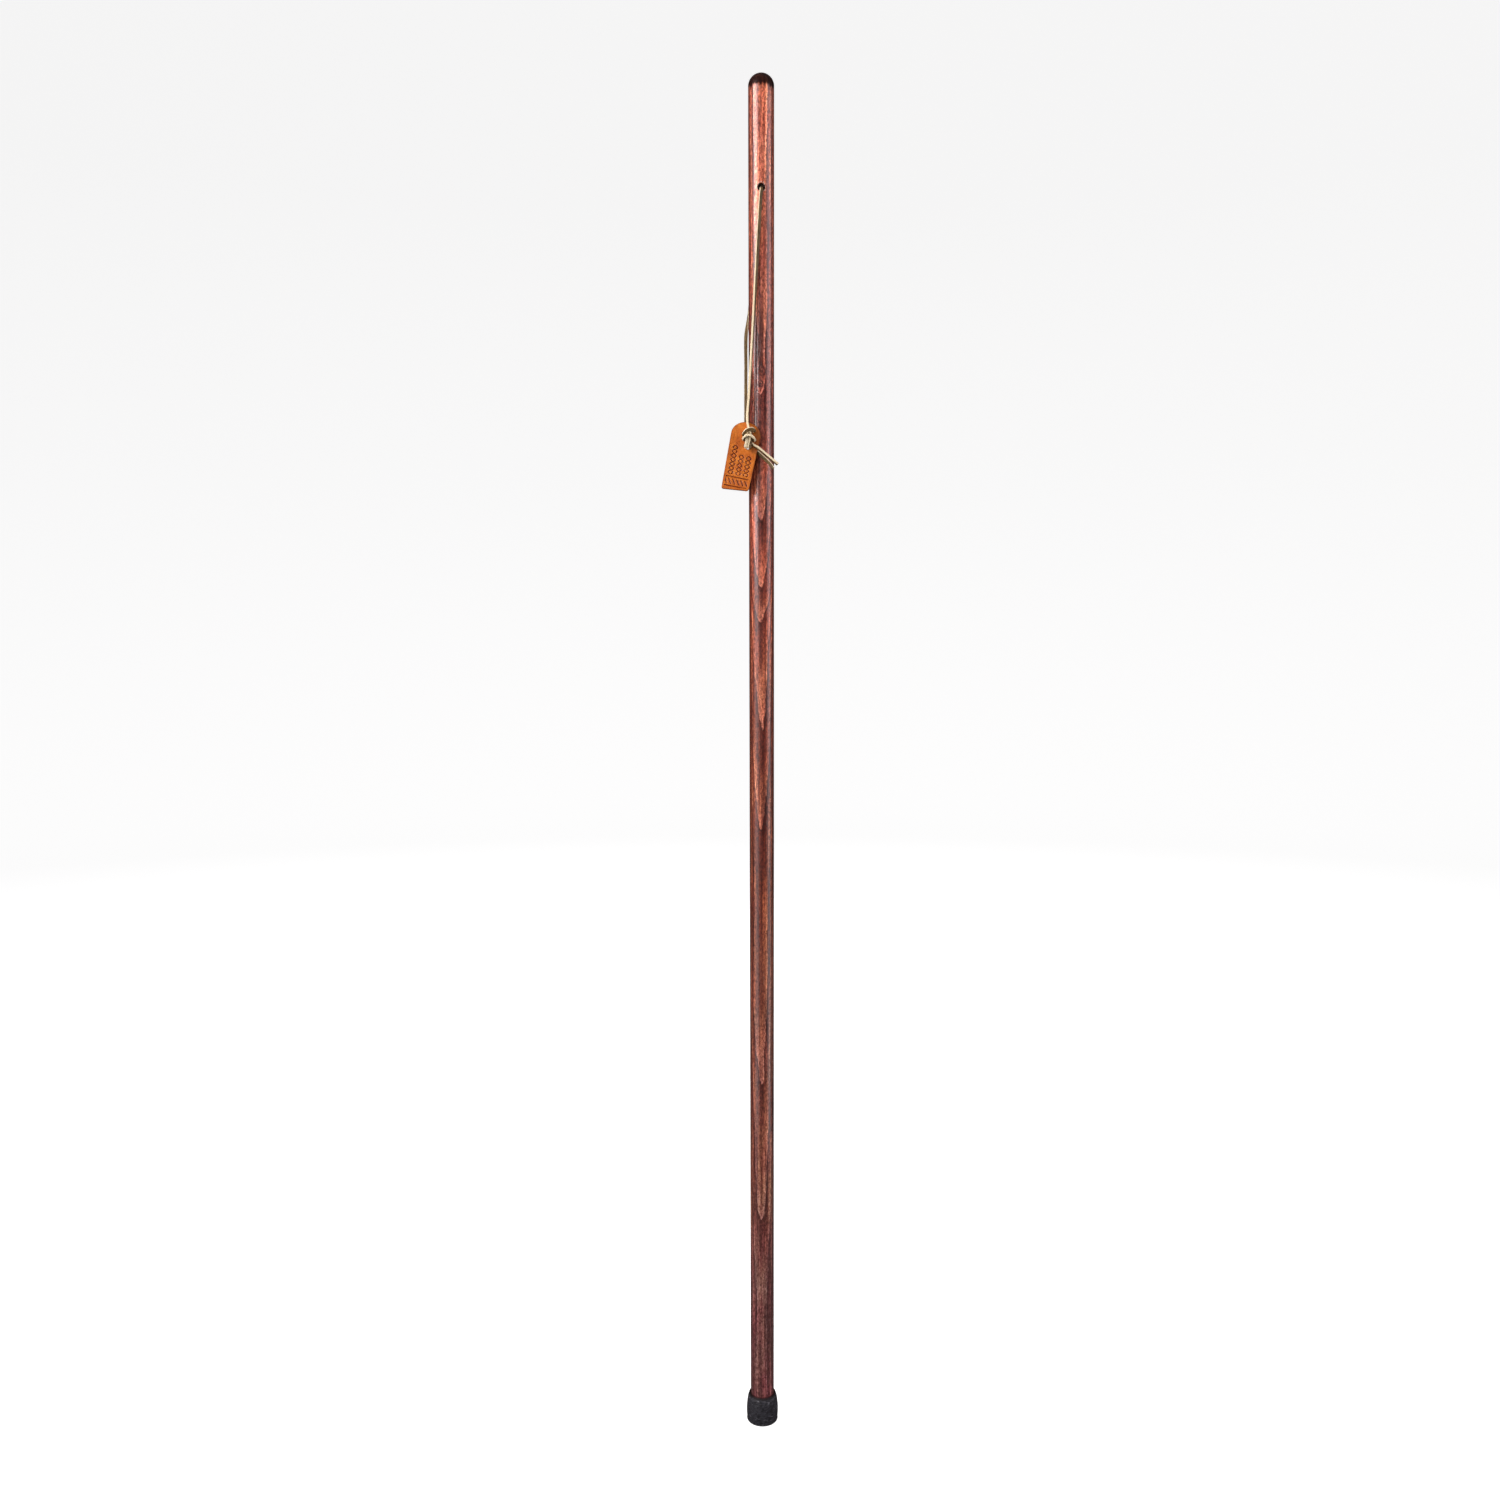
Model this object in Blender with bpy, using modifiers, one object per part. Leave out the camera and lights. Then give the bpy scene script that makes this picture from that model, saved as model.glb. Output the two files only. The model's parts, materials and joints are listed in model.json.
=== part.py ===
"""Straight hardwood walking staff: wooden shaft, leather lanyard with a tag, rubber tip with a steel washer.

Units are metres, +Z is up, and the origin is the centre of the rubber tip's ground face.
The front, where the tag hangs, faces -Y. The lanyard hangs down the front and left (-X) of the shaft.
"""

import math

import bmesh
import bpy
from mathutils import Vector

MM = 0.001
GAP = 0.3 * MM              # air between neighbouring pieces

# Whole object
LENGTH = 1397.0 * MM        # 55 inches
TOP_RADIUS = 13.15 * MM     # shaft just under the dome
FOOT_RADIUS = 12.25 * MM    # shaft at its lower end
DOME_HEIGHT = 12.0 * MM
FOOT_CHAMFER = 1.0 * MM

# Cross hole for the lace
HOLE_BELOW_TOP = 116.0 * MM
HOLE_RADIUS = 4.0 * MM

# Rubber tip
TIP_HEIGHT = 29.0 * MM
TIP_MAX_RADIUS = 16.5 * MM
TIP_RIM_RADIUS = 14.2 * MM
TIP_FLOOR = 7.0 * MM        # solid rubber under the socket
TIP_LAND_RADIUS = 14.6 * MM
TREAD_DEPTH = 1.5 * MM
TREAD_GROOVES = ((4.0 * MM, 5.6 * MM), (8.6 * MM, 10.4 * MM))   # inner and outer radius of each ring groove

# Steel washer under the shaft
WASHER_RADIUS = 11.0 * MM
WASHER_HOLE_RADIUS = 3.0 * MM
WASHER_THICKNESS = 1.2 * MM

# Leather lace
LACE_RADIUS = 1.6 * MM
LACE_IN_HOLE = 2.0 * MM     # how far below the hole's centre the lace lies under its own weight

# Leather tag, measured in its own plane from the middle of its lower edge
TAG_THICKNESS = 2.8 * MM
TAG_LENGTH = 69.0 * MM
TAG_TOP_WIDTH = 30.1 * MM
TAG_FOOT_WIDTH = 27.6 * MM
TAG_FOOT_SKEW = 2.7 * MM    # the foot is cut out of square: its left corner is this much lower than its right
TAG_ARCH = 13.2 * MM        # height of the arched top
TAG_CORNER = 2.4 * MM
TAG_EDGE = 0.5 * MM         # rounding of the tag's edges
TAG_HOLE_RADIUS = 4.0 * MM
TAG_HOLE_UP = 45.8 * MM
TAG_HOLE_RIGHT = 4.3 * MM
TAG_LEAN = math.radians(11.6)   # the tag's foot hangs to the left

# Where the tag and the knot hang, below the cross hole and left of the shaft's axis
TAG_DROP = 258.2 * MM
TAG_LEFT = 13.8 * MM
KNOT_DROP = 248.0 * MM
KNOT_LEFT = 12.75 * MM
LEG_SLOPE = math.tan(math.radians(3.5))     # the front leg leans this much to the left

# Places that follow from the sizes above
HOLE_Z = LENGTH - HOLE_BELOW_TOP
SHAFT_FOOT_Z = TIP_FLOOR + WASHER_THICKNESS + 2 * GAP
KNOT_Z = HOLE_Z - KNOT_DROP


def shaft_radius(z):
    """The shaft tapers evenly from top to foot."""
    return FOOT_RADIUS + (TOP_RADIUS - FOOT_RADIUS) * z / LENGTH


# Layers in front of the shaft, as y of each layer's middle: the second tail lies on the shaft,
# then the tag, then the back of the knot, its core of two strands, and its front.
LACE_STEP = 2 * LACE_RADIUS + GAP
BEHIND_TAG_Y = -(shaft_radius(KNOT_Z) + GAP + LACE_RADIUS)
TAG_Y = BEHIND_TAG_Y - LACE_RADIUS - GAP - TAG_THICKNESS / 2
KNOT_BACK_Y = TAG_Y - TAG_THICKNESS / 2 - GAP - LACE_RADIUS
KNOT_CORE_Y = KNOT_BACK_Y - LACE_STEP
LEG_Y = TOP_RADIUS + GAP + LACE_RADIUS      # how far each leg hangs from the shaft's axis

CORE_HALF = 1.9 * MM        # half the distance between the knot's two core strands
TAG_PIVOT = Vector((-TAG_LEFT, TAG_Y, HOLE_Z - TAG_DROP))


def clear_scene():
    for obj in list(bpy.data.objects):
        bpy.data.objects.remove(obj, do_unlink=True)


def new_collection(name):
    collection = bpy.data.collections.new(name)
    bpy.context.scene.collection.children.link(collection)
    return collection


def new_material(name, colour, roughness, metallic=0.0):
    material = bpy.data.materials.new(name)
    material.use_nodes = True
    shader = material.node_tree.nodes["Principled BSDF"]
    shader.inputs["Base Color"].default_value = (*colour, 1.0)
    shader.inputs["Roughness"].default_value = roughness
    shader.inputs["Metallic"].default_value = metallic
    return material


def new_pivot(collection, name, place, parent=None):
    pivot = bpy.data.objects.new(name, None)
    pivot.empty_display_size = 0.02
    pivot.location = place
    pivot.parent = parent
    collection.objects.link(pivot)
    return pivot


def turned(collection, name, profile, steps, material, closed=False):
    """A solid of revolution about Z, from (radius, height) pairs that run down its outer side."""
    mesh = bpy.data.meshes.new(name)
    points = [(radius, 0.0, height) for radius, height in profile]
    edges = [(i, i + 1) for i in range(len(points) - 1)]
    if closed:
        edges.append((len(points) - 1, 0))
    mesh.from_pydata(points, edges, [])
    obj = bpy.data.objects.new(name, mesh)
    collection.objects.link(obj)
    screw = obj.modifiers.new("turn", "SCREW")
    screw.steps = steps
    screw.render_steps = steps
    screw.use_merge_vertices = True
    screw.merge_threshold = 0.00001
    screw.use_smooth_shade = True
    mesh.materials.append(material)
    return obj


def make_staff(collection, cutters):
    dome_steps = 9
    profile = []
    for i in range(dome_steps + 1):
        angle = math.pi / 2 * (1 - i / dome_steps)
        height = LENGTH - DOME_HEIGHT * (1 - math.sin(angle))
        radius = 0.0 if i == 0 else TOP_RADIUS * math.cos(angle)
        profile.append((radius, height))
    profile.append((FOOT_RADIUS, SHAFT_FOOT_Z + FOOT_CHAMFER))
    profile.append((FOOT_RADIUS - FOOT_CHAMFER, SHAFT_FOOT_Z))
    profile.append((0.0, SHAFT_FOOT_Z))
    wood = new_material("stained_wood", (0.30, 0.09, 0.04), 0.22)
    staff = turned(collection, "staff", profile, 48, wood)

    drill_mesh = bpy.data.meshes.new("cross_drill")
    drill_bmesh = bmesh.new()
    bmesh.ops.create_cone(
        drill_bmesh,
        cap_ends=True,
        segments=32,
        radius1=HOLE_RADIUS,
        radius2=HOLE_RADIUS,
        depth=4 * TOP_RADIUS,
    )
    drill_bmesh.to_mesh(drill_mesh)
    drill_bmesh.free()
    drill = bpy.data.objects.new("cross_drill", drill_mesh)
    drill.location = (0.0, 0.0, HOLE_Z)
    drill.rotation_euler = (math.pi / 2, 0.0, 0.0)
    drill.hide_render = True
    drill.display_type = "WIRE"
    cutters.objects.link(drill)
    cut = staff.modifiers.new("cross_hole", "BOOLEAN")
    cut.operation = "DIFFERENCE"
    cut.object = drill
    return staff


def tip_outline():
    """The rubber tip's wall from its rim down to its ground face: a slight barrel with soft edges."""
    outline = [
        (TIP_RIM_RADIUS - 0.7 * MM, TIP_HEIGHT),
        (TIP_RIM_RADIUS, TIP_HEIGHT - 0.5 * MM),
        (TIP_RIM_RADIUS + 0.6 * MM, TIP_HEIGHT - 2.0 * MM),
    ]
    barrel_top = TIP_HEIGHT - 5.0 * MM
    barrel_foot = 3.0 * MM
    barrel_middle = 11.0 * MM
    barrel_sagitta = 1.1 * MM
    barrel_steps = 7
    for i in range(barrel_steps + 1):
        z = barrel_top + (barrel_foot - barrel_top) * i / barrel_steps
        narrowing = ((z - barrel_middle) / (barrel_top - barrel_middle)) ** 2
        outline.append((TIP_MAX_RADIUS - barrel_sagitta * narrowing, z))
    edge_steps = 3
    edge = 1.7 * MM
    for i in range(1, edge_steps + 1):
        angle = math.pi / 2 * i / edge_steps
        outline.append((TIP_LAND_RADIUS + edge * math.cos(angle), edge * (1 - math.sin(angle))))
    return outline


def make_ferrule(collection):
    socket_radius = FOOT_RADIUS + GAP
    profile = [
        (0.0, TIP_FLOOR),
        (socket_radius, TIP_FLOOR),
        (socket_radius, TIP_HEIGHT - 0.6 * MM),
        (socket_radius + 0.6 * MM, TIP_HEIGHT),
    ]
    profile += tip_outline()
    draft = 0.25 * MM
    for inner, outer in reversed(TREAD_GROOVES):
        profile += [
            (outer, 0.0),
            (outer - draft, TREAD_DEPTH),
            (inner + draft, TREAD_DEPTH),
            (inner, 0.0),
        ]
    profile.append((0.0, 0.0))
    rubber = new_material("black_rubber", (0.030, 0.030, 0.034), 0.75)
    return turned(collection, "ferrule", profile, 48, rubber)


def make_washer(collection):
    low = TIP_FLOOR + GAP
    high = low + WASHER_THICKNESS
    profile = [
        (WASHER_HOLE_RADIUS, high),
        (WASHER_RADIUS, high),
        (WASHER_RADIUS, low),
        (WASHER_HOLE_RADIUS, low),
    ]
    steel = new_material("washer_steel", (0.55, 0.55, 0.57), 0.38, metallic=1.0)
    return turned(collection, "ferrule_washer", profile, 40, steel, closed=True)


def smooth_path(stops, spacing):
    """A centripetal Catmull-Rom curve through the stops, with points about `spacing` apart."""
    ends = [stops[0] * 2 - stops[1], *stops, stops[-1] * 2 - stops[-2]]
    points = []
    for a, b, c, d in zip(ends, ends[1:], ends[2:], ends[3:]):
        t1 = (b - a).length ** 0.5
        t2 = t1 + (c - b).length ** 0.5
        t3 = t2 + (d - c).length ** 0.5
        steps = max(1, round((c - b).length / spacing))
        for i in range(steps):
            t = t1 + (t2 - t1) * i / steps
            ab = a.lerp(b, t / t1)
            bc = b.lerp(c, (t - t1) / (t2 - t1))
            cd = c.lerp(d, (t - t2) / (t3 - t2))
            abc = ab.lerp(bc, t / t2)
            bcd = bc.lerp(cd, (t - t1) / (t3 - t1))
            points.append(abc.lerp(bcd, (t - t1) / (t2 - t1)))
    points.append(stops[-1].copy())
    return points


def knot_turn(right_z, left_z, next_z, arch):
    """One turn round the two core strands: over the front from right to left, back behind them to the right.

    Heights are above KNOT_Z at the knot's right side, its left side, and its right side after the turn.
    """
    reach = LACE_STEP
    stops = []
    quarter = math.pi / 2
    # The front pass runs from the right strand's right side to the left strand's left side.
    # Angles are from the front.
    front_pass = ((1, quarter), (1, quarter / 2), (1, 0.0), (-1, 0.0), (-1, -quarter / 2), (-1, -quarter))
    for side, angle in front_pass:
        across = side * CORE_HALF + reach * math.sin(angle)
        forward = reach * math.cos(angle)
        share = 0.5 - 0.5 * across / (CORE_HALF + reach)
        height = right_z + (left_z - right_z) * share + arch * math.cos(angle) ** 2
        stops.append(knot_stop(across, forward, height))
    # The back pass, from the left side to the right. Angles are from the back.
    back_pass = ((-1, quarter / 2), (-1, 0.0), (1, 0.0), (1, quarter / 2))
    for side, angle in back_pass:
        across = side * (CORE_HALF + reach * math.sin(angle))
        forward = -reach * math.cos(angle)
        share = 0.5 + 0.5 * across / (CORE_HALF + reach)
        height = left_z + (next_z - left_z) * share
        stops.append(knot_stop(across, forward, height))
    return stops


def knot_stop(across, forward, up):
    """A point in the knot: to the right of its middle, in front of its core, above KNOT_Z."""
    return Vector((-KNOT_LEFT + across, KNOT_CORE_Y - forward, KNOT_Z + up))


def leg_stop(drop, y, left=None):
    """A point on a leg of the lanyard, `drop` below the cross hole.

    It is on the leaning line unless `left` says how far to the left of the hole it is.
    """
    if left is None:
        left = drop * LEG_SLOPE
    return Vector((-left, y, HOLE_Z - drop))


def tag_stop(right, y, up):
    """A point near the tag's hole: to the right of its middle and above it."""
    return Vector((TAG_PIVOT.x + right, y, TAG_PIVOT.z + up))


def tag_bend(right):
    """A strand from the knot bends round, in front of the tag, and into the tag's hole."""
    middle_y = KNOT_BACK_Y - 0.3 * MM
    middle_up = 0.4 * MM
    bend = 2.4 * MM
    stops = []
    for degrees in (0, 45, 90, 130):
        angle = math.radians(degrees)
        y = middle_y - bend * math.cos(angle)
        up = middle_up - bend * math.sin(angle)
        stops.append(tag_stop(right, y, up))
    return stops


def lace_stops():
    """The lace's middle line from its first tail to its second, in the order the lace was threaded."""
    strand = 1.8 * MM       # half the distance between the two strands in the tag's hole
    back = -LACE_STEP       # the knot's rear layer, as forward from its core
    first_tail = [
        knot_stop(28.9 * MM, back + 0.6 * MM, -29.0 * MM),
        knot_stop(16.4 * MM, back, -18.6 * MM),
        knot_stop(9.0 * MM, back, -12.6 * MM),
        knot_stop(5.0 * MM, back, -10.4 * MM),
    ]
    # The turns are wound from the knot's top to its foot. This end of the lace meets them in reverse.
    upper = knot_turn(3.4 * MM, 0.0, -5.4 * MM, 2.6 * MM)
    lower = knot_turn(-5.4 * MM, -4.2 * MM, -9.4 * MM, 3.0 * MM)[:-1]
    turns = list(reversed(upper + lower))
    into_core = [
        knot_stop(4.4 * MM, -2.5 * MM, 3.9 * MM),
        knot_stop(2.0 * MM, back, 5.0 * MM),
        knot_stop(-0.4 * MM, back + 0.2 * MM, 4.8 * MM),
        knot_stop(-1.8 * MM, -1.5 * MM, 2.7 * MM),
        knot_stop(-CORE_HALF, 0.0, -0.6 * MM),
        knot_stop(-CORE_HALF, 0.0, -3.8 * MM),
        knot_stop(-CORE_HALF - 0.2 * MM, 0.2 * MM, -6.8 * MM),
    ]
    through_tag = [
        *tag_bend(-strand),
        tag_stop(-strand, BEHIND_TAG_Y - 1.1 * MM, 0.0),
        tag_stop(-strand, BEHIND_TAG_Y, 3.0 * MM),
    ]
    back_leg = [
        leg_stop(236 * MM, BEHIND_TAG_Y, 15.9 * MM),
        leg_stop(205 * MM, BEHIND_TAG_Y + 0.5 * MM, 15.9 * MM),
        leg_stop(178 * MM, -11.0 * MM, 15.8 * MM),
        leg_stop(157 * MM, -4.0 * MM, 15.9 * MM),
        leg_stop(142 * MM, 4.0 * MM, 15.6 * MM),
        leg_stop(128 * MM, 12.0 * MM, 14.0 * MM),
        leg_stop(116 * MM, LEG_Y, 12.4 * MM),
        leg_stop(60 * MM, LEG_Y, 6.2 * MM),
        leg_stop(20 * MM, LEG_Y, 1.9 * MM),
        leg_stop(7 * MM, LEG_Y, 0.6 * MM),
    ]
    # At each mouth the lace bends round the hole's lower edge, clear of it by the gap.
    bend = LACE_RADIUS + 1.5 * GAP
    slant = bend * math.sqrt(0.5)
    through_hole = [
        leg_stop(HOLE_RADIUS, TOP_RADIUS + bend, 0.0),
        leg_stop(HOLE_RADIUS - slant, TOP_RADIUS + slant, 0.0),
        leg_stop(LACE_IN_HOLE, TOP_RADIUS - 0.2 * MM, 0.0),
        leg_stop(LACE_IN_HOLE, TOP_RADIUS - 3.0 * MM, 0.0),
        leg_stop(LACE_IN_HOLE, -TOP_RADIUS + 3.0 * MM, 0.0),
        leg_stop(LACE_IN_HOLE, -TOP_RADIUS + 0.2 * MM, 0.0),
        leg_stop(HOLE_RADIUS - slant, -TOP_RADIUS - slant, 0.0),
        leg_stop(HOLE_RADIUS, -TOP_RADIUS - bend, 0.0),
    ]
    front_leg = [
        leg_stop(9 * MM, -LEG_Y),
        leg_stop(60 * MM, -LEG_Y),
        leg_stop(120 * MM, -LEG_Y),
        leg_stop(170 * MM, -LEG_Y - 0.6 * MM),
        leg_stop(208 * MM, -LEG_Y - 3.0 * MM),
        leg_stop(231 * MM, KNOT_BACK_Y - 0.3 * MM),
        knot_stop(-0.6 * MM, -0.3 * MM, 8.2 * MM),
        knot_stop(1.3 * MM, 0.0, 3.6 * MM),
        knot_stop(CORE_HALF, 0.0, -1.0 * MM),
        knot_stop(CORE_HALF - 0.2 * MM, 0.3 * MM, -6.6 * MM),
    ]
    second_tail = [
        *tag_bend(strand),
        tag_stop(strand - 0.2 * MM, TAG_Y + 1.1 * MM, -0.8 * MM),
        tag_stop(3.3 * MM, BEHIND_TAG_Y + 0.7 * MM, -0.9 * MM),
        tag_stop(8.0 * MM, BEHIND_TAG_Y, -4.2 * MM),
        tag_stop(16.6 * MM, BEHIND_TAG_Y, -11.6 * MM),
        tag_stop(22.0 * MM, BEHIND_TAG_Y, -16.8 * MM),
        tag_stop(25.4 * MM, BEHIND_TAG_Y, -21.8 * MM),
    ]
    return (
        first_tail + turns + into_core + through_tag + back_leg
        + through_hole + front_leg + second_tail
    )


def make_lace(collection, pivot):
    curve = bpy.data.curves.new("lanyard_lace", "CURVE")
    curve.dimensions = "3D"
    curve.bevel_depth = LACE_RADIUS
    curve.bevel_resolution = 2
    curve.use_fill_caps = True
    points = smooth_path(lace_stops(), 1.3 * MM)
    spline = curve.splines.new("POLY")
    spline.points.add(len(points) - 1)
    for point, place in zip(spline.points, points):
        point.co = (*(place - pivot.location), 1.0)
    curve.materials.append(new_material("lace_leather", (0.30, 0.20, 0.09), 0.55))
    lace = bpy.data.objects.new("lanyard_lace", curve)
    lace.parent = pivot
    collection.objects.link(lace)
    return lace


def tag_outline():
    """The tag's outline from the front, anticlockwise, with the hole's middle at the origin."""
    half_foot = TAG_FOOT_WIDTH / 2
    half_top = TAG_TOP_WIDTH / 2
    shoulder = TAG_LENGTH - TAG_ARCH
    outline = []
    corner_steps = 4
    for side in (-1, 1):
        for i in range(corner_steps + 1):
            turn = i if side < 0 else corner_steps - i
            angle = math.pi / 2 * turn / corner_steps
            x = side * (half_foot - TAG_CORNER + TAG_CORNER * math.cos(angle))
            y = TAG_CORNER - TAG_CORNER * math.sin(angle)
            outline.append((x, y + TAG_FOOT_SKEW / 2 * x / half_foot))
    arch_steps = 20
    for i in range(arch_steps + 1):
        angle = math.pi * i / arch_steps
        outline.append((half_top * math.cos(angle), shoulder + TAG_ARCH * math.sin(angle)))
    return [(x - TAG_HOLE_RIGHT, y - TAG_HOLE_UP) for x, y in outline]


def circle(radius, steps):
    return [
        (radius * math.cos(2 * math.pi * i / steps), radius * math.sin(2 * math.pi * i / steps))
        for i in range(steps)
    ]


def make_tag(collection, pivot):
    curve = bpy.data.curves.new("hang_tag", "CURVE")
    curve.dimensions = "2D"
    curve.fill_mode = "BOTH"
    curve.extrude = TAG_THICKNESS / 2 - TAG_EDGE
    curve.bevel_depth = TAG_EDGE
    curve.bevel_resolution = 1
    curve.offset = -TAG_EDGE
    for ring in (tag_outline(), circle(TAG_HOLE_RADIUS, 28)):
        spline = curve.splines.new("POLY")
        spline.points.add(len(ring) - 1)
        for point, (x, y) in zip(spline.points, ring):
            point.co = (x, y, 0.0, 1.0)
        spline.use_cyclic_u = True
    curve.materials.append(new_material("tag_leather", (0.62, 0.22, 0.06), 0.5))
    tag = bpy.data.objects.new("hang_tag", curve)
    tag.rotation_euler = (math.pi / 2, TAG_LEAN, 0.0)
    tag.parent = pivot
    collection.objects.link(tag)
    return tag


def main():
    clear_scene()
    parts = new_collection("walking_staff")
    cutters = new_collection("cutters")
    make_staff(parts, cutters)
    make_ferrule(parts)
    make_washer(parts)
    lanyard_pivot = new_pivot(parts, "lanyard_pivot", Vector((0.0, 0.0, HOLE_Z)))
    tag_pivot = new_pivot(parts, "tag_pivot", TAG_PIVOT - lanyard_pivot.location, lanyard_pivot)
    make_lace(parts, lanyard_pivot)
    make_tag(parts, tag_pivot)


main()
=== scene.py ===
"""Looks for the walking staff: lacquered ring-porous wood, leather lace and tag, rubber tip, steel washer.

Units are metres. The front faces -Y and the staff stands on z = 0.
"""

import json
import math

import bmesh
import bpy
import numpy as np
from mathutils import Matrix, Vector, noise


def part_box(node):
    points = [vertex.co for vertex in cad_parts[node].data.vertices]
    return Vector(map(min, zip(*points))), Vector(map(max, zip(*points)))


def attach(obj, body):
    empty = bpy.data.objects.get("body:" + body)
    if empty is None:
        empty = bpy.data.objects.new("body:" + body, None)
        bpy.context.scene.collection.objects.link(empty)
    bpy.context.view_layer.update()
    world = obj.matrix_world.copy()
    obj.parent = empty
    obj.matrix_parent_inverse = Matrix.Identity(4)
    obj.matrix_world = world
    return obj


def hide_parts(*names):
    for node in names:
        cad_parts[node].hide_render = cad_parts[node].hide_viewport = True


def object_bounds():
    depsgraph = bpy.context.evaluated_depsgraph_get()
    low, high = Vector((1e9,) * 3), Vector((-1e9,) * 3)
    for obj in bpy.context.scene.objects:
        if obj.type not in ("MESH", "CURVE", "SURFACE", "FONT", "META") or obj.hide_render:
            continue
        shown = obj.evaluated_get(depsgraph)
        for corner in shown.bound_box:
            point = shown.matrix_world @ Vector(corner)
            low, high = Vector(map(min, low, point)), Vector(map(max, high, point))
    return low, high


MM = 0.001

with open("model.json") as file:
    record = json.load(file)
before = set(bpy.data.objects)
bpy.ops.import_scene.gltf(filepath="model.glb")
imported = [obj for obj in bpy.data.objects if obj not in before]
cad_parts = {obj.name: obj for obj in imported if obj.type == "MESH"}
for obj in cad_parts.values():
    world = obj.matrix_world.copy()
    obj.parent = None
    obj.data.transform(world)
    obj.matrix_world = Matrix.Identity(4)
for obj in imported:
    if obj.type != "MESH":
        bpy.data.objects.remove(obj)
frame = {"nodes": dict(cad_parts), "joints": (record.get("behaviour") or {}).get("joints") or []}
CAD_LOW, CAD_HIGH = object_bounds()
JOINTS = {joint["name"]: joint for joint in frame["joints"]}
HOLE = Vector(JOINTS["lanyard_swing"]["pos_m"])
TAG_PIVOT = Vector(JOINTS["tag_swing"]["pos_m"])
STAFF_LOW, STAFF_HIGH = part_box("staff")
TIP_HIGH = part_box("ferrule")[1]
TAG_LOW, TAG_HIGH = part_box("hang_tag")

# Shaft
TOP_RADIUS = STAFF_HIGH.x
FOOT_RADIUS = TOP_RADIUS - 0.9 * MM
DOME_HEIGHT = 12.0 * MM
HOLE_RADIUS = 4.0 * MM
HOLE_FILLET = 0.7 * MM
GAP = 0.3 * MM

# Small knots in the wood: height above the ground, angle from the front towards +X, size
PIN_KNOTS = (
    (1.0985, math.radians(-1), 0.95),
    (1.0862, math.radians(-6), 0.70),
    (0.655, math.radians(148), 0.8),
    (0.905, math.radians(-118), 0.7),
    (0.318, math.radians(64), 0.8),
)

# Lace
LACE_RADIUS = 1.6 * MM
LACE_HALF_WIDTH = 1.68 * MM
LACE_HALF_THICKNESS = 1.42 * MM
LACE_IN_HOLE = 2.0 * MM
LEG_SLOPE = math.tan(math.radians(3.5))
LACE_STEP = 2 * LACE_RADIUS + GAP
CORE_HALF = 1.9 * MM

# Tag, in its own plane, from the middle of its lower edge
TAG_THICKNESS = TAG_HIGH.y - TAG_LOW.y
TAG_LENGTH = 69.0 * MM
TAG_TOP_WIDTH = 30.1 * MM
TAG_FOOT_WIDTH = 27.6 * MM
TAG_FOOT_SKEW = 2.7 * MM
TAG_ARCH = 13.2 * MM
TAG_CORNER = 2.4 * MM
TAG_HOLE_RADIUS = 4.0 * MM
TAG_HOLE_UP = 45.8 * MM
TAG_HOLE_RIGHT = 4.3 * MM
TAG_LEAN = math.radians(11.6)

# Layers in front of the shaft
KNOT = Vector((TAG_PIVOT.x + 1.05 * MM, 0.0, TAG_PIVOT.z + 10.2 * MM))
BEHIND_TAG_Y = TAG_HIGH.y + GAP + LACE_RADIUS
TAG_Y = (TAG_LOW.y + TAG_HIGH.y) / 2
KNOT_BACK_Y = TAG_LOW.y - GAP - LACE_RADIUS
KNOT.y = KNOT_BACK_Y - LACE_STEP
LEG_Y = TOP_RADIUS + GAP + LACE_RADIUS


# ---------------- materials


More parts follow.
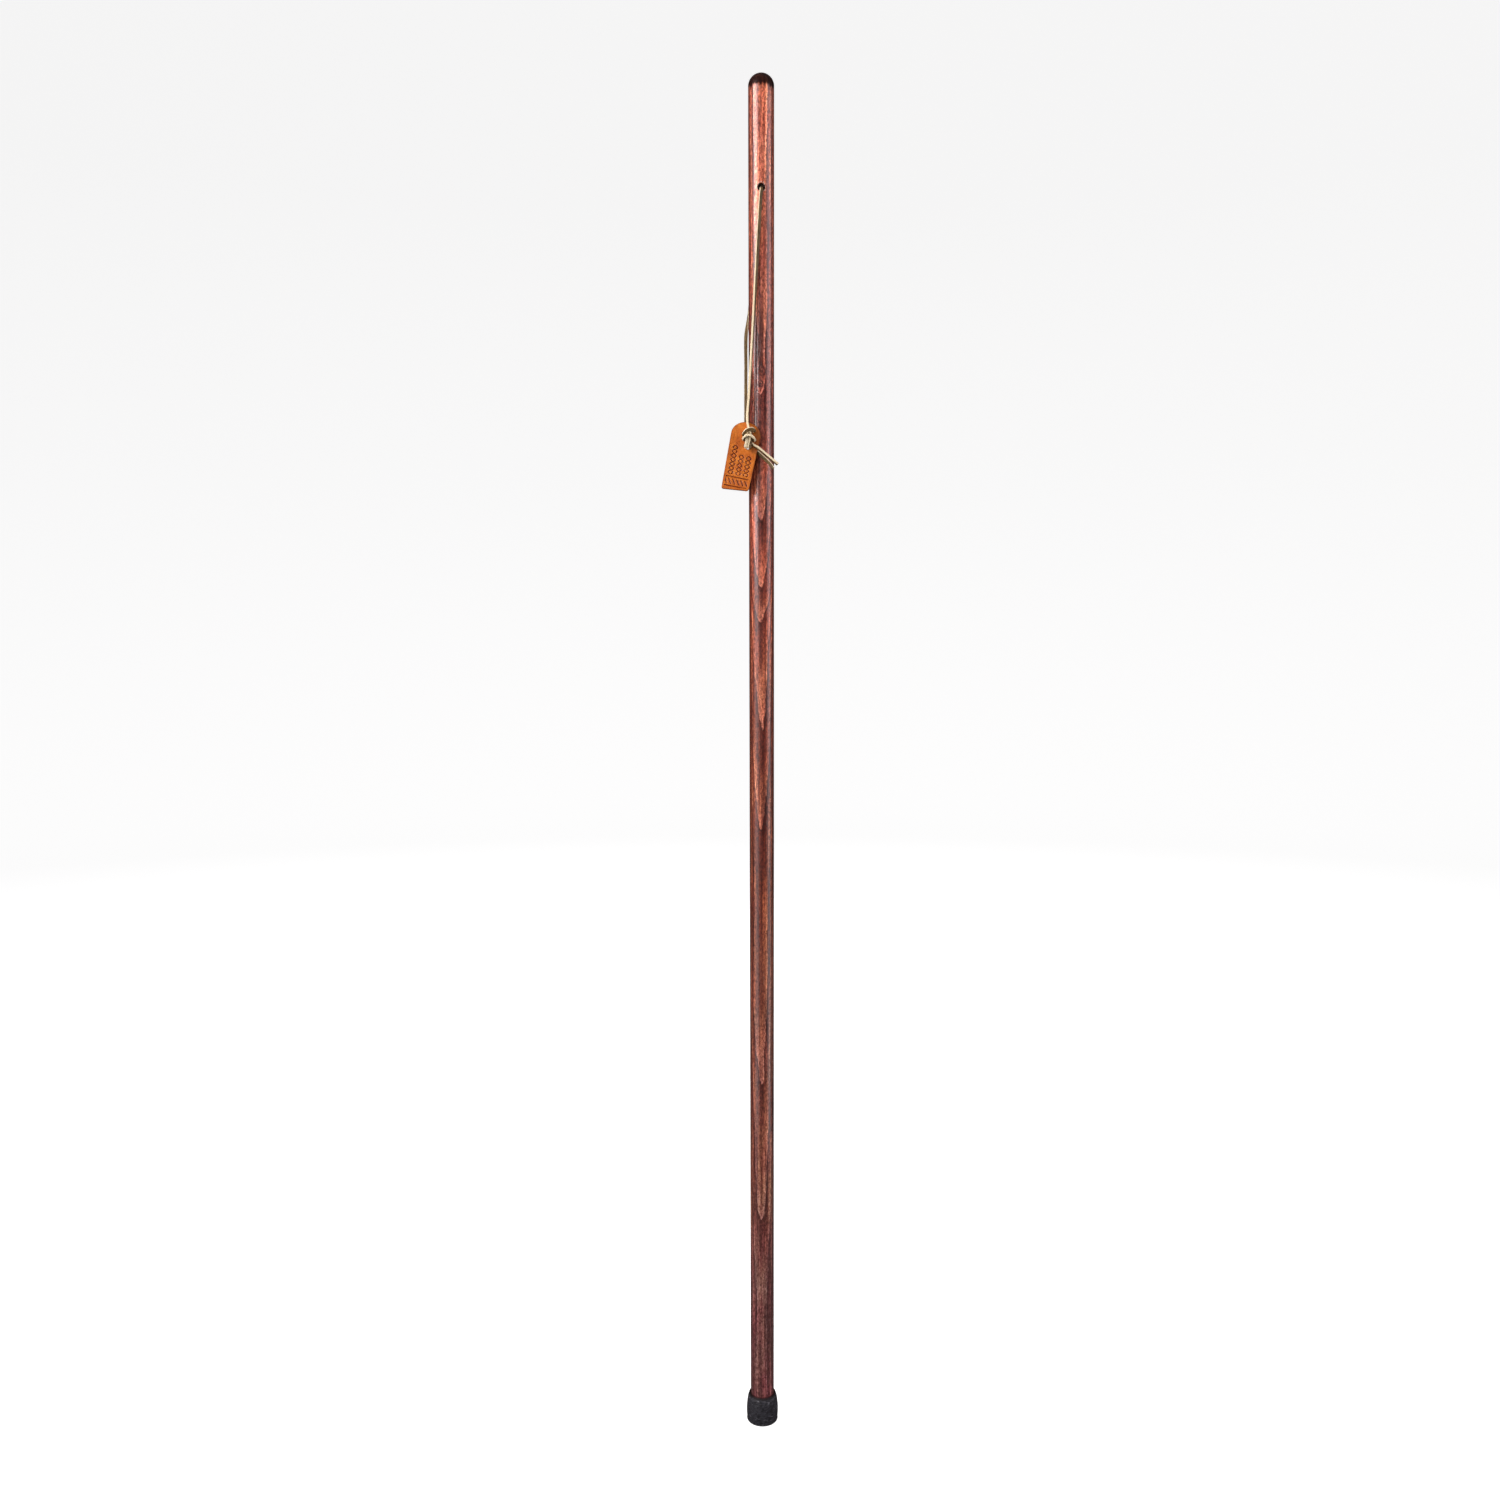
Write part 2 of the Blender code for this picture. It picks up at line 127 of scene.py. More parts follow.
class Finish:
    """A Principled material with short calls for adding nodes to it."""

    def __init__(self, name):
        self.material = bpy.data.materials.new(name)
        self.material.use_nodes = True
        self.tree = self.material.node_tree
        self.shader = self.tree.nodes["Principled BSDF"]
        self.place = self.node("ShaderNodeTexCoord", {}).outputs["Object"]

    def feed(self, socket, value):
        if isinstance(value, bpy.types.NodeSocket):
            self.tree.links.new(value, socket)
        elif isinstance(value, tuple) and len(value) == 3 and socket.type == "RGBA":
            socket.default_value = (*value, 1.0)
        else:
            socket.default_value = value

    def node(self, kind, inputs, **settings):
        made = self.tree.nodes.new(kind)
        for key, value in settings.items():
            setattr(made, key, value)
        for key, value in inputs.items():
            self.feed(made.inputs[key], value)
        return made

    def math(self, operation, a, b=0.0, clamp=False):
        return self.node("ShaderNodeMath", {0: a, 1: b}, operation=operation, use_clamp=clamp).outputs[0]

    def plus(self, a, b, clamp=False):
        return self.math("ADD", a, b, clamp)

    def minus(self, a, b, clamp=False):
        return self.math("SUBTRACT", a, b, clamp)

    def times(self, a, b):
        return self.math("MULTIPLY", a, b)

    def larger(self, a, b):
        return self.math("MAXIMUM", a, b)

    def hypot(self, a, b):
        return self.math("SQRT", self.plus(self.times(a, a), self.times(b, b)))

    def offset_from(self, centre, vector=None):
        inputs = {0: vector or self.place, 1: centre}
        return self.node("ShaderNodeVectorMath", inputs, operation="SUBTRACT").outputs[0]

    def length(self, vector):
        return self.node("ShaderNodeVectorMath", {0: vector}, operation="LENGTH").outputs["Value"]

    def remap(self, value, low, high, to_low=0.0, to_high=1.0, smooth=True):
        made = self.node(
            "ShaderNodeMapRange",
            {"Value": value, "From Min": low, "From Max": high, "To Min": to_low, "To Max": to_high},
            interpolation_type="SMOOTHSTEP" if smooth else "LINEAR",
        )
        return made.outputs["Result"]

    def stretch(self, scale, vector=None):
        made = self.node("ShaderNodeVectorMath", {0: vector or self.place, 1: scale}, operation="MULTIPLY")
        return made.outputs[0]

    def noise(self, scale, detail=3.0, roughness=0.5, distortion=0.0):
        """Noise about 0.5. `scale` is cycles per metre along x, y and z."""
        made = self.node(
            "ShaderNodeTexNoise",
            {
                "Vector": self.stretch(scale),
                "Scale": 1.0,
                "Detail": detail,
                "Roughness": roughness,
                "Distortion": distortion,
            },
        )
        return made.outputs["Fac"]

    def ramp(self, value, stops):
        made = self.node("ShaderNodeValToRGB", {"Fac": value})
        ramp = made.color_ramp
        while len(ramp.elements) < len(stops):
            ramp.elements.new(0.5)
        for element, (position, colour) in zip(ramp.elements, stops):
            element.position = position
            element.color = (*colour, 1.0)
        return made.outputs["Color"]

    def mix(self, factor, a, b, blend="MIX"):
        made = self.node("ShaderNodeMix", {0: factor}, data_type="RGBA", blend_type=blend)
        self.feed(made.inputs[6], a)
        self.feed(made.inputs[7], b)
        return made.outputs[2]

    def wander(self, scale, amount, detail=3.0):
        """A length that strays either side of zero."""
        return self.times(self.minus(self.noise(scale, detail=detail), 0.5), amount)

    def split(self):
        return self.node("ShaderNodeSeparateXYZ", {0: self.place}).outputs

    def attribute(self, name):
        return self.node("ShaderNodeAttribute", {}, attribute_name=name).outputs["Fac"]

    def bump(self, height, distance, strength):
        inputs = {"Height": height, "Distance": distance, "Strength": strength}
        return self.node("ShaderNodeBump", inputs).outputs["Normal"]

    def set(self, **values):
        names = {
            "colour": "Base Color",
            "roughness": "Roughness",
            "metallic": "Metallic",
            "normal": "Normal",
            "coat": "Coat Weight",
            "coat_roughness": "Coat Roughness",
            "coat_normal": "Coat Normal",
            "specular": "Specular IOR Level",
            "sheen": "Sheen Weight",
        }
        for key, value in values.items():
            self.feed(self.shader.inputs[names[key]], value)
        return self.material


def wood_finish():
    """Ring-porous hardwood under a red-brown stain and gloss lacquer.

    The tree's pith runs behind the staff and leans away from it with height, so the growth rings leave
    nested V shapes that point down on the front, and close straight lines at the sides.
    """
    f = Finish("stained_wood")
    x, y, z = f.split()
    ring_pitch = 3.0 * MM
    pith_behind = 46.0 * MM
    height = f.math("DIVIDE", z, STAFF_HIGH.z)

    # How many rings the front has crossed by each height. It climbs fast where Vs crowd together.
    rings = f.node("ShaderNodeFloatCurve", {"Value": height})
    curve = rings.mapping.curves[0]
    crossings = (
        (0.000, 0.088), (0.115, 0.102), (0.195, 0.200), (0.320, 0.262), (0.442, 0.320), (0.519, 0.415),
        (0.603, 0.524), (0.628, 0.615), (0.677, 0.720), (0.730, 0.800), (0.830, 0.850), (1.000, 0.900),
    )
    curve.points[0].location = crossings[0]
    curve.points[1].location = crossings[-1]
    for crossing in crossings[1:-1]:
        curve.points.new(*crossing)
    for point in curve.points:
        point.handle_type = "AUTO_CLAMPED"
    rings.mapping.update()
    total_rings = 10.0
    climb = f.times(rings.outputs[0], total_rings * ring_pitch)

    sway = f.wander((14.0, 14.0, 5.0), 4.4 * MM, detail=2.0)
    waver = f.wander((110.0, 110.0, 34.0), 1.5 * MM, detail=5.0)
    lean = f.wander((0.0, 0.0, 3.1), 34.0 * MM, detail=1.0)
    dy = f.minus(pith_behind, y)
    dx = f.plus(f.minus(x, 3.0 * MM), lean)
    field = f.plus(f.plus(f.plus(f.hypot(dx, dy), climb), sway), waver)
    knot_dark = 0.0
    for knot_height, angle, size in PIN_KNOTS:
        offset = f.offset_from(around_axis(TOP_RADIUS, angle, knot_height))
        # The rings bend round the knot, which has a dark eye, a dark rim and a dark flame above it.
        long_reach = f.length(f.stretch((1.0, 1.0, 0.30), offset))
        field = f.plus(field, f.remap(long_reach, 0.0, 6.0 * MM * size, 3.6 * MM * size, 0.0))
        near = f.plus(f.length(offset), f.times(waver, 1.2))
        eye = f.remap(near, 1.5 * MM * size, 2.6 * MM * size, 1.0, 0.0)
        off_rim = f.math("ABSOLUTE", f.minus(near, 4.4 * MM * size))
        rim = f.remap(off_rim, 0.4 * MM, 1.2 * MM, 0.8, 0.0)
        above = f.offset_from((0.0, 0.0, 30.0 * MM), offset)
        flame_reach = f.plus(f.length(f.stretch((1.0, 1.0, 0.075), above)), waver)
        flame = f.remap(flame_reach, 1.4 * MM * size, 4.6 * MM * size, 0.85, 0.0)
        dark = f.larger(f.larger(eye, rim), flame)
        knot_dark = dark if knot_dark == 0.0 else f.larger(knot_dark, dark)

    phase = f.math("FRACT", f.math("DIVIDE", field, ring_pitch))
    fibre = f.noise((900.0, 900.0, 22.0), detail=4.0, roughness=0.62)
    streak = f.noise((380.0, 380.0, 11.0), detail=4.0, roughness=0.60)
    cloud = f.noise((120.0, 120.0, 14.0), detail=4.0, roughness=0.60)
    grit = f.noise((640.0, 640.0, 300.0), detail=3.0, roughness=0.70)
    speck_noise = f.noise((700.0, 700.0, 260.0), detail=2.0, roughness=0.6, distortion=0.4)
    early = f.remap(phase, 0.45, 0.95)
    speck_limit = f.remap(early, 0.0, 1.0, 0.60, 0.53, smooth=False)
    specks = f.remap(f.minus(speck_noise, speck_limit), 0.0, 0.08)
    pore_noise = f.noise((1900.0, 1900.0, 80.0), detail=2.0)
    pores = f.remap(f.minus(pore_noise, 0.60), 0.0, 0.07)

    wood = f.ramp(
        phase,
        (
            (0.00, (0.620, 0.245, 0.155)),
            (0.12, (0.510, 0.178, 0.100)),
            (0.40, (0.385, 0.112, 0.060)),
            (0.66, (0.225, 0.056, 0.032)),
            (0.86, (0.165, 0.040, 0.025)),
            (0.935, (0.120, 0.024, 0.014)),
            (0.965, (0.062, 0.013, 0.009)),
            (0.985, (0.640, 0.260, 0.170)),
        ),
    )
    # Towards the foot the stain evens the rings out.
    wood = f.mix(f.remap(height, 0.06, 0.24, 0.50, 0.0), wood, (0.285, 0.086, 0.052))
    tone = f.ramp(
        height,
        (
            (0.000, (0.55, 0.57, 0.98)),
            (0.110, (0.50, 0.60, 0.88)),
            (0.190, (0.61, 0.66, 0.72)),
            (0.330, (0.56, 0.50, 0.48)),
            (0.400, (0.50, 0.38, 0.33)),
            (0.500, (0.64, 0.50, 0.44)),
            (0.640, (0.90, 0.66, 0.59)),
            (0.790, (0.86, 0.64, 0.70)),
            (0.870, (1.30, 1.06, 1.02)),
            (1.000, (1.40, 1.18, 1.18)),
        ),
    )
    wood = f.mix(1.0, wood, tone, "MULTIPLY")
    patches = f.noise((75.0, 75.0, 17.0), detail=3.0)
    wine = f.ramp(patches, ((0.42, (0.92, 1.10, 1.00)), (0.58, (1.12, 0.86, 0.96))))
    wood = f.mix(f.remap(height, 0.02, 0.40, 0.75, 0.30), wood, wine, "MULTIPLY")
    for shade, low, dark, high, light in (
        (streak, 0.36, (0.44, 0.34, 0.36), 0.64, (1.66, 1.86, 1.76)),
        (cloud, 0.34, (0.64, 0.62, 0.70), 0.68, (1.28, 1.34, 1.28)),
        (grit, 0.36, (0.40, 0.34, 0.34), 0.64, (1.66, 1.80, 1.86)),
        (fibre, 0.30, (0.72, 0.68, 0.68), 0.70, (1.28, 1.30, 1.30)),
    ):
        shading = f.ramp(shade, ((low, dark), ((low + high) / 2, (1.0, 1.0, 1.0)), (high, light)))
        wood = f.mix(1.0, wood, shading, "MULTIPLY")
    # Painted shade: the left and right flanks, as seen from the front, are darkened to stand in for the
    # light falling off there.
    painted_flank_shade = f.remap(f.math("ABSOLUTE", x), 0.62 * TOP_RADIUS, 0.95 * TOP_RADIUS, 0.0, 0.55)
    wood = f.mix(painted_flank_shade, wood, (0.060, 0.016, 0.011))
    radius = f.hypot(x, y)
    sideways = f.math("DIVIDE", f.math("ABSOLUTE", x), radius)
    # Painted shade: a darker outline at the very left and right sides, where the surface turns away.
    wood = f.mix(f.remap(sideways, 0.94, 0.995, 0.0, 0.65), wood, (0.030, 0.009, 0.006))
    wood = f.mix(f.times(specks, 0.60), wood, (0.055, 0.014, 0.010))
    wood = f.mix(f.times(pores, 0.55), wood, (0.045, 0.012, 0.010))
    wood = f.mix(f.times(knot_dark, 0.90), wood, (0.040, 0.008, 0.006))

    # The end grain of the dome drinks the stain and turns nearly black.
    ragged = f.wander((340.0, 340.0, 80.0), 13.0 * MM, detail=4.0)
    dome = f.remap(f.plus(z, ragged), STAFF_HIGH.z - 18.5 * MM, STAFF_HIGH.z - 14.0 * MM)
    wood = f.mix(f.times(dome, 0.97), wood, (0.010, 0.004, 0.004))

    # The drilled hole and the hidden foot are bare wood with no lacquer; their near-black colour is painted
    # shade, for the shade inside the hole and in the tip's socket.
    inside = f.remap(radius, FOOT_RADIUS - 1.2 * MM, FOOT_RADIUS - 0.4 * MM, 1.0, 0.0)
    under_dome = f.remap(z, STAFF_HIGH.z - 15.0 * MM, STAFF_HIGH.z - 13.0 * MM, 1.0, 0.0)
    inside = f.times(inside, under_dome)
    foot = f.remap(z, TIP_HIGH.z - 12.0 * MM, TIP_HIGH.z - 6.0 * MM, 1.0, 0.0)
    bare_and_shaded = f.larger(inside, f.times(foot, 0.8))
    wood = f.mix(bare_and_shaded, wood, (0.050, 0.022, 0.014))

    # Painted shadow: a dark line on the wood along the rubber tip's lip, where the lip shades it.
    lip_shadow_height = f.plus(z, f.wander((400.0, 400.0, 400.0), 1.4 * MM))
    lip_shadow = f.remap(lip_shadow_height, TIP_HIGH.z, TIP_HIGH.z + 1.3 * MM, 0.8, 0.0)
    wood = f.mix(lip_shadow, wood, (0.030, 0.010, 0.010))

    # The drill tore pale chips out of the hole's lip.
    up = f.minus(z, HOLE.z)
    torn = f.plus(f.hypot(x, up), f.wander((520.0, 520.0, 520.0), 3.6 * MM, detail=2.0))
    off_lip = f.math("ABSOLUTE", f.minus(torn, 4.6 * MM))
    lip = f.remap(off_lip, 0.25 * MM, 0.75 * MM, 1.0, 0.0)
    chips = f.times(lip, f.remap(grit, 0.46, 0.54))
    wood = f.mix(f.times(chips, 0.9), wood, (0.74, 0.62, 0.52))

    relief = f.minus(f.times(fibre, 0.25), f.larger(pores, specks))
    grain_normal = f.bump(relief, 0.05 * MM, 0.6)
    ripple = f.noise((260.0, 260.0, 60.0), detail=3.0)
    coat_relief = f.minus(f.times(ripple, 0.8), f.times(pores, 0.6))
    coat_normal = f.bump(coat_relief, 0.06 * MM, 0.6)
    return f.set(
        colour=wood,
        roughness=f.remap(fibre, 0.2, 0.8, 0.38, 0.56),
        normal=grain_normal,
        coat=f.minus(1.0, f.larger(bare_and_shaded, f.times(dome, 0.94)), clamp=True),
        coat_roughness=f.remap(ripple, 0.25, 0.75, 0.15, 0.28),
        coat_normal=coat_normal,
        specular=f.remap(dome, 0.0, 1.0, 0.30, 0.04),
    )


def rubber_finish():
    """Matt black rubber, dusty and scuffed, with painted shade along the foot edge and a painted shadow in
    the mouth.
    """
    f = Finish("black_rubber")
    x, y, z = f.split()
    fine = f.noise((2600.0, 2600.0, 2600.0), detail=2.0)
    grain = f.noise((330.0, 330.0, 640.0), detail=4.0, roughness=0.7)
    cloud = f.noise((120.0, 120.0, 160.0), detail=4.0)
    dust = f.remap(cloud, 0.44, 0.74)
    colour = f.mix(f.remap(grain, 0.38, 0.62), (0.004, 0.004, 0.006), (0.036, 0.036, 0.044))
    colour = f.mix(f.times(dust, 0.40), colour, (0.034, 0.034, 0.040))
    scuff = f.remap(f.noise((180.0, 180.0, 460.0), detail=4.0, distortion=1.2), 0.60, 0.66)
    colour = f.mix(f.times(scuff, 0.70), colour, (0.15, 0.15, 0.17))
    # Painted shade: darker along the bottom edge.
    foot_shade = f.remap(z, 0.8 * MM, 2.6 * MM, 0.85, 0.0)
    colour = f.mix(foot_shade, colour, (0.005, 0.005, 0.006))
    # Painted shadow: dark inside the mouth and across the top lip, where the wood meets the rubber.
    mouth_shadow = f.remap(f.hypot(x, y), FOOT_RADIUS + 0.7 * MM, FOOT_RADIUS + 1.2 * MM, 1.0, 0.0)
    lip = f.remap(f.minus(z, TIP_HIGH.z), -1.9 * MM, -0.9 * MM, 0.0, 0.95)
    mouth_shadow = f.larger(mouth_shadow, lip)
    colour = f.mix(mouth_shadow, colour, (0.006, 0.003, 0.003))
    relief = f.plus(f.times(fine, 0.5), grain)
    return f.set(
        colour=colour,
        roughness=f.remap(f.plus(f.times(fine, 0.5), cloud), 0.4, 1.1, 0.50, 0.80),
        normal=f.bump(relief, 0.16 * MM, 0.9),
        specular=0.45,
    )


def lace_finish():
    """Oiled lace: an olive-brown grain side, and paler raw leather on its cut sides and ends. The pale side
    also serves as a painted lit side and the darkened grain side as painted shade, by how the strands are
    turned.
    """
    f = Finish("lace_leather")
    raw = f.attribute("raw")
    mottle = f.noise((230.0, 230.0, 130.0), detail=4.0, roughness=0.6)
    fine = f.noise((1900.0, 1900.0, 1900.0), detail=3.0)
    creases = f.noise((700.0, 700.0, 1600.0), detail=3.0, distortion=0.6)
    skin_and_shade = f.ramp(
        mottle,
        (
            (0.28, (0.050, 0.030, 0.010)),
            (0.55, (0.135, 0.083, 0.029)),
            (0.78, (0.235, 0.155, 0.058)),
        ),
    )
    flesh_and_light = f.ramp(fine, ((0.30, (0.62, 0.50, 0.30)), (0.70, (0.86, 0.75, 0.52))))
    share = f.plus(raw, f.times(f.minus(mottle, 0.5), 0.5), clamp=True)
    colour = f.mix(f.remap(share, 0.30, 0.70), skin_and_shade, flesh_and_light)
    colour = f.mix(f.times(f.remap(creases, 0.58, 0.72), 0.5), colour, (0.075, 0.042, 0.016))
    relief = f.plus(f.times(fine, 0.5), f.times(creases, 0.7))
    return f.set(
        colour=colour,
        roughness=f.remap(share, 0.2, 0.8, 0.48, 0.82),
        normal=f.bump(relief, 0.10 * MM, 0.7),
        specular=0.35,
        sheen=f.times(share, 0.15),
    )


def tag_finish():
    """Tan leather, darker where it is tooled and at its burnished edges, with a painted shadow of the knot
    beside the hole.
    """
    f = Finish("tag_leather")
    tooled = f.attribute("tooled")
    edge = f.attribute("edge")
    mottle = f.noise((110.0, 110.0, 90.0), detail=4.0, roughness=0.55)
    fine = f.noise((1500.0, 1500.0, 1500.0), detail=3.0)
    cell_inputs = {"Vector": f.stretch((1.0, 1.0, 1.0)), "Scale": 1500.0}
    cells = f.node("ShaderNodeTexVoronoi", cell_inputs, feature="DISTANCE_TO_EDGE")
    wrinkle = f.remap(cells.outputs["Distance"], 0.0, 0.12)
    colour = f.ramp(
        mottle,
        (
            (0.28, (0.40, 0.080, 0.004)),
            (0.52, (0.56, 0.142, 0.008)),
            (0.75, (0.70, 0.225, 0.022)),
        ),
    )
    colour = f.mix(f.times(f.minus(1.0, wrinkle), 0.30), colour, (0.36, 0.095, 0.014))
    colour = f.mix(f.times(tooled, 0.95), colour, (0.105, 0.013, 0.003))
    # The edge attribute holds the burnished edges and the painted shadow of the knot.
    colour = f.mix(f.times(edge, 0.80), colour, (0.170, 0.045, 0.008))
    relief = f.plus(f.times(fine, 0.4), f.times(wrinkle, 0.5))
    return f.set(
        colour=colour,
        roughness=f.remap(f.plus(fine, f.times(tooled, -0.4)), 0.2, 0.8, 0.34, 0.56),
        normal=f.bump(relief, 0.07 * MM, 0.7),
        specular=0.32,
    )


def steel_finish():
    """Plain steel with fine scratches and brown stains."""
    f = Finish("washer_steel")
    scratch = f.noise((300.0, 2500.0, 300.0), detail=3.0)
    stain = f.noise((180.0, 180.0, 180.0), detail=4.0)
    colour = f.mix(f.remap(stain, 0.50, 0.75), (0.56, 0.56, 0.57), (0.30, 0.24, 0.19))
    return f.set(
        colour=colour,
        metallic=1.0,
        roughness=f.remap(f.plus(scratch, stain), 0.7, 1.3, 0.28, 0.52),
        normal=f.bump(scratch, 0.02 * MM, 0.5),
    )


# ---------------- meshes


def new_object(name, points, faces, material, sharp_angle):
    mesh = bpy.data.meshes.new(name)
    mesh.from_pydata([tuple(p) for p in points], [], faces)
    made = bmesh.new()
    made.from_mesh(mesh)
    bmesh.ops.remove_doubles(made, verts=made.verts, dist=0.002 * MM)
    bmesh.ops.recalc_face_normals(made, faces=made.faces)
    made.to_mesh(mesh)
    made.free()
    mesh.shade_smooth()
    mesh.set_sharp_from_angle(angle=math.radians(sharp_angle))
    mesh.materials.append(material)
    obj = bpy.data.objects.new(name, mesh)
    bpy.context.scene.collection.objects.link(obj)
    return obj


def ring_faces(rings, count, start=0, cap_first=False, cap_last=False):
    """Quads between consecutive rings of `count` points each, numbered from `start`."""
    faces = []
    for r in range(rings - 1):
        for i in range(count):
            a = start + r * count + i
            b = start + r * count + (i + 1) % count
            faces.append((a, b, b + count, a + count))
    if cap_first:
        faces.append(tuple(start + i for i in range(count)))
    if cap_last:
        faces.append(tuple(start + (rings - 1) * count + i for i in range(count)))
    return faces


def around_axis(radius, angle, z):
    """A point at `angle` from the front towards +X."""
    return (radius * math.sin(angle), -radius * math.cos(angle), z)


def soft_step(value, low, high):
    t = np.clip((value - low) / (high - low), 0.0, 1.0)
    return t * t * (3 - 2 * t)


def lathe(name, profile, segments, material, sharp_angle, shape=None):
    """A solid of revolution about Z from (radius, height) pairs. `shape` can shift each radius."""
    points = []
    for radius, height in profile:
        for i in range(segments):
            angle = 2 * math.pi * i / segments
            shift = shape(radius, height, angle) if shape else 0.0
            points.append(around_axis(radius + shift, angle, height))
    return new_object(name, points, ring_faces(len(profile), segments), material, sharp_angle)


def shaft_radius(z):
    span = STAFF_HIGH.z - DOME_HEIGHT - STAFF_LOW.z
    return FOOT_RADIUS + (TOP_RADIUS - FOOT_RADIUS) * (z - STAFF_LOW.z) / span


def surface_relief(angle, z):
    """How far the surface stands off its true taper: hand-sanding, and a sunk eye at each pin knot."""
    place = Vector((2.0 * math.sin(angle), 2.0 * math.cos(angle), z * 25.0))
    relief = 0.05 * MM * noise.noise(place)
    for height, knot_angle, size in PIN_KNOTS:
        turn = (angle - knot_angle + math.pi) % (2 * math.pi) - math.pi
        across = turn * TOP_RADIUS
        up = (z - height) * 0.6
        reach = math.hypot(across, up) / (2.4 * MM * size)
        if reach < 4:
            raised_rim = 0.16 * MM * size * math.exp(-((reach - 1.3) ** 2) * 2)
            sunk_eye = 0.22 * MM * size * math.exp(-reach * reach * 2)
            relief += raised_rim - sunk_eye
    return relief


def staff_point(angle, z):
    return around_axis(shaft_radius(z) + surface_relief(angle, z), angle, z)


def hole_patch(columns, half_height, side_steps):
    """The shaft's front half beside the cross hole: rings of points from an outline into the hole."""
    quarter = math.pi / 2
    outline = []
    for side in (1, -1):
        for i in range(columns):
            outline.append((side * (-quarter + math.pi * i / columns), side * half_height))
        for i in range(side_steps):
            outline.append((side * quarter, side * half_height * (1 - 2 * i / side_steps)))
    spokes = [math.atan2(up, angle * TOP_RADIUS) for angle, up in outline]
    lip = HOLE_RADIUS + HOLE_FILLET
    rings = []
    outer_steps = 12
    for step in range(outer_steps + 1):
        inward = (step / outer_steps) ** 0.75
        ring = []
        for (angle, up), spoke in zip(outline, spokes):
            lip_angle = math.asin(lip * math.cos(spoke) / TOP_RADIUS)
            a = angle + (lip_angle - angle) * inward
            z = HOLE.z + up + (lip * math.sin(spoke) - up) * inward
            ring.append(staff_point(a, z))
        rings.append(ring)
    fillet_steps = 5
    for step in range(1, fillet_steps + 1):
        turn = math.pi / 2 * step / fillet_steps
        reach = HOLE_RADIUS + HOLE_FILLET * (1 - math.sin(turn))
        sink = HOLE_FILLET * (1 - math.cos(turn))
        ring = []
        for spoke in spokes:
            x = reach * math.cos(spoke)
            z = HOLE.z + reach * math.sin(spoke)
            ring.append((x, -math.sqrt(shaft_radius(z) ** 2 - x * x) + sink, z))
        rings.append(ring)
    return rings


def build_staff(material):
    columns = 64
    around = 2 * columns
    half_height = 12.0 * MM
    patch = hole_patch(columns, half_height, 24)
    count = len(patch[0])
    front = [p for ring in patch for p in ring]
    points = list(front)
    faces = ring_faces(len(patch), count)
    # Beside the hole, the back of the shaft mirrors the front.
    start = len(points)
    points += [(x, -y, z) for x, y, z in front]
    faces += ring_faces(len(patch), count, start)
    start = len(points)
    wall_steps = 8
    for step in range(wall_steps + 1):
        points += [(x, y * (1 - 2 * step / wall_steps), z) for x, y, z in patch[-1]]
    faces += ring_faces(wall_steps + 1, count, start)

    # Rows about 5 mm apart up the shaft, and closer ones at the pin knots
    heights = set()
    foot = STAFF_LOW.z + 1.0 * MM
    dome_foot = STAFF_HIGH.z - DOME_HEIGHT
    for low, high in ((HOLE.z + half_height, dome_foot), (foot, HOLE.z - half_height)):
        steps = round((high - low) / (5.0 * MM))
        for i in range(steps + 1):
            heights.add(round(low + (high - low) * i / steps, 7))
    for knot_height, _, _ in PIN_KNOTS:
        for i in range(-12, 13):
            heights.add(round(knot_height + i * 0.8 * MM, 7))
    tiny = 0.001 * MM
    upper = [z for z in sorted(heights) if z >= HOLE.z + half_height - tiny]
    lower = [z for z in sorted(heights) if z <= HOLE.z - half_height + tiny]

    angles = [2 * math.pi * i / around for i in range(around)]

    def shaft_point(angle, z):
        """The rows that meet the mirrored part beside the hole are mirrored too."""
        if abs(abs(z - HOLE.z) - half_height) < tiny and math.cos(angle) < 0:
            x, y, _ = staff_point(math.pi - angle, z)
            return (x, -y, z)
        return staff_point(angle, z)

    start = len(points)
    for z in upper:
        points += [shaft_point(angle, z) for angle in angles]
    dome_steps = 18
    for step in range(1, dome_steps):
        turn = math.pi / 2 * step / dome_steps
        radius = TOP_RADIUS * math.cos(turn)
        z = dome_foot + DOME_HEIGHT * math.sin(turn)
        points += [around_axis(radius, angle, z) for angle in angles]
    faces += ring_faces(len(upper) + dome_steps - 1, around, start, cap_last=True)
    start = len(points)
    end_radius = FOOT_RADIUS - 1.0 * MM
    end_shares = (0.4, 0.8, 1.0)
    for share in end_shares:
        points += [around_axis(share * end_radius, angle, STAFF_LOW.z) for angle in angles]
    for z in lower:
        points += [shaft_point(angle, z) for angle in angles]
    faces += ring_faces(len(end_shares) + len(lower), around, start, cap_first=True)
    return new_object("staff_wood", points, faces, material, 55.0)


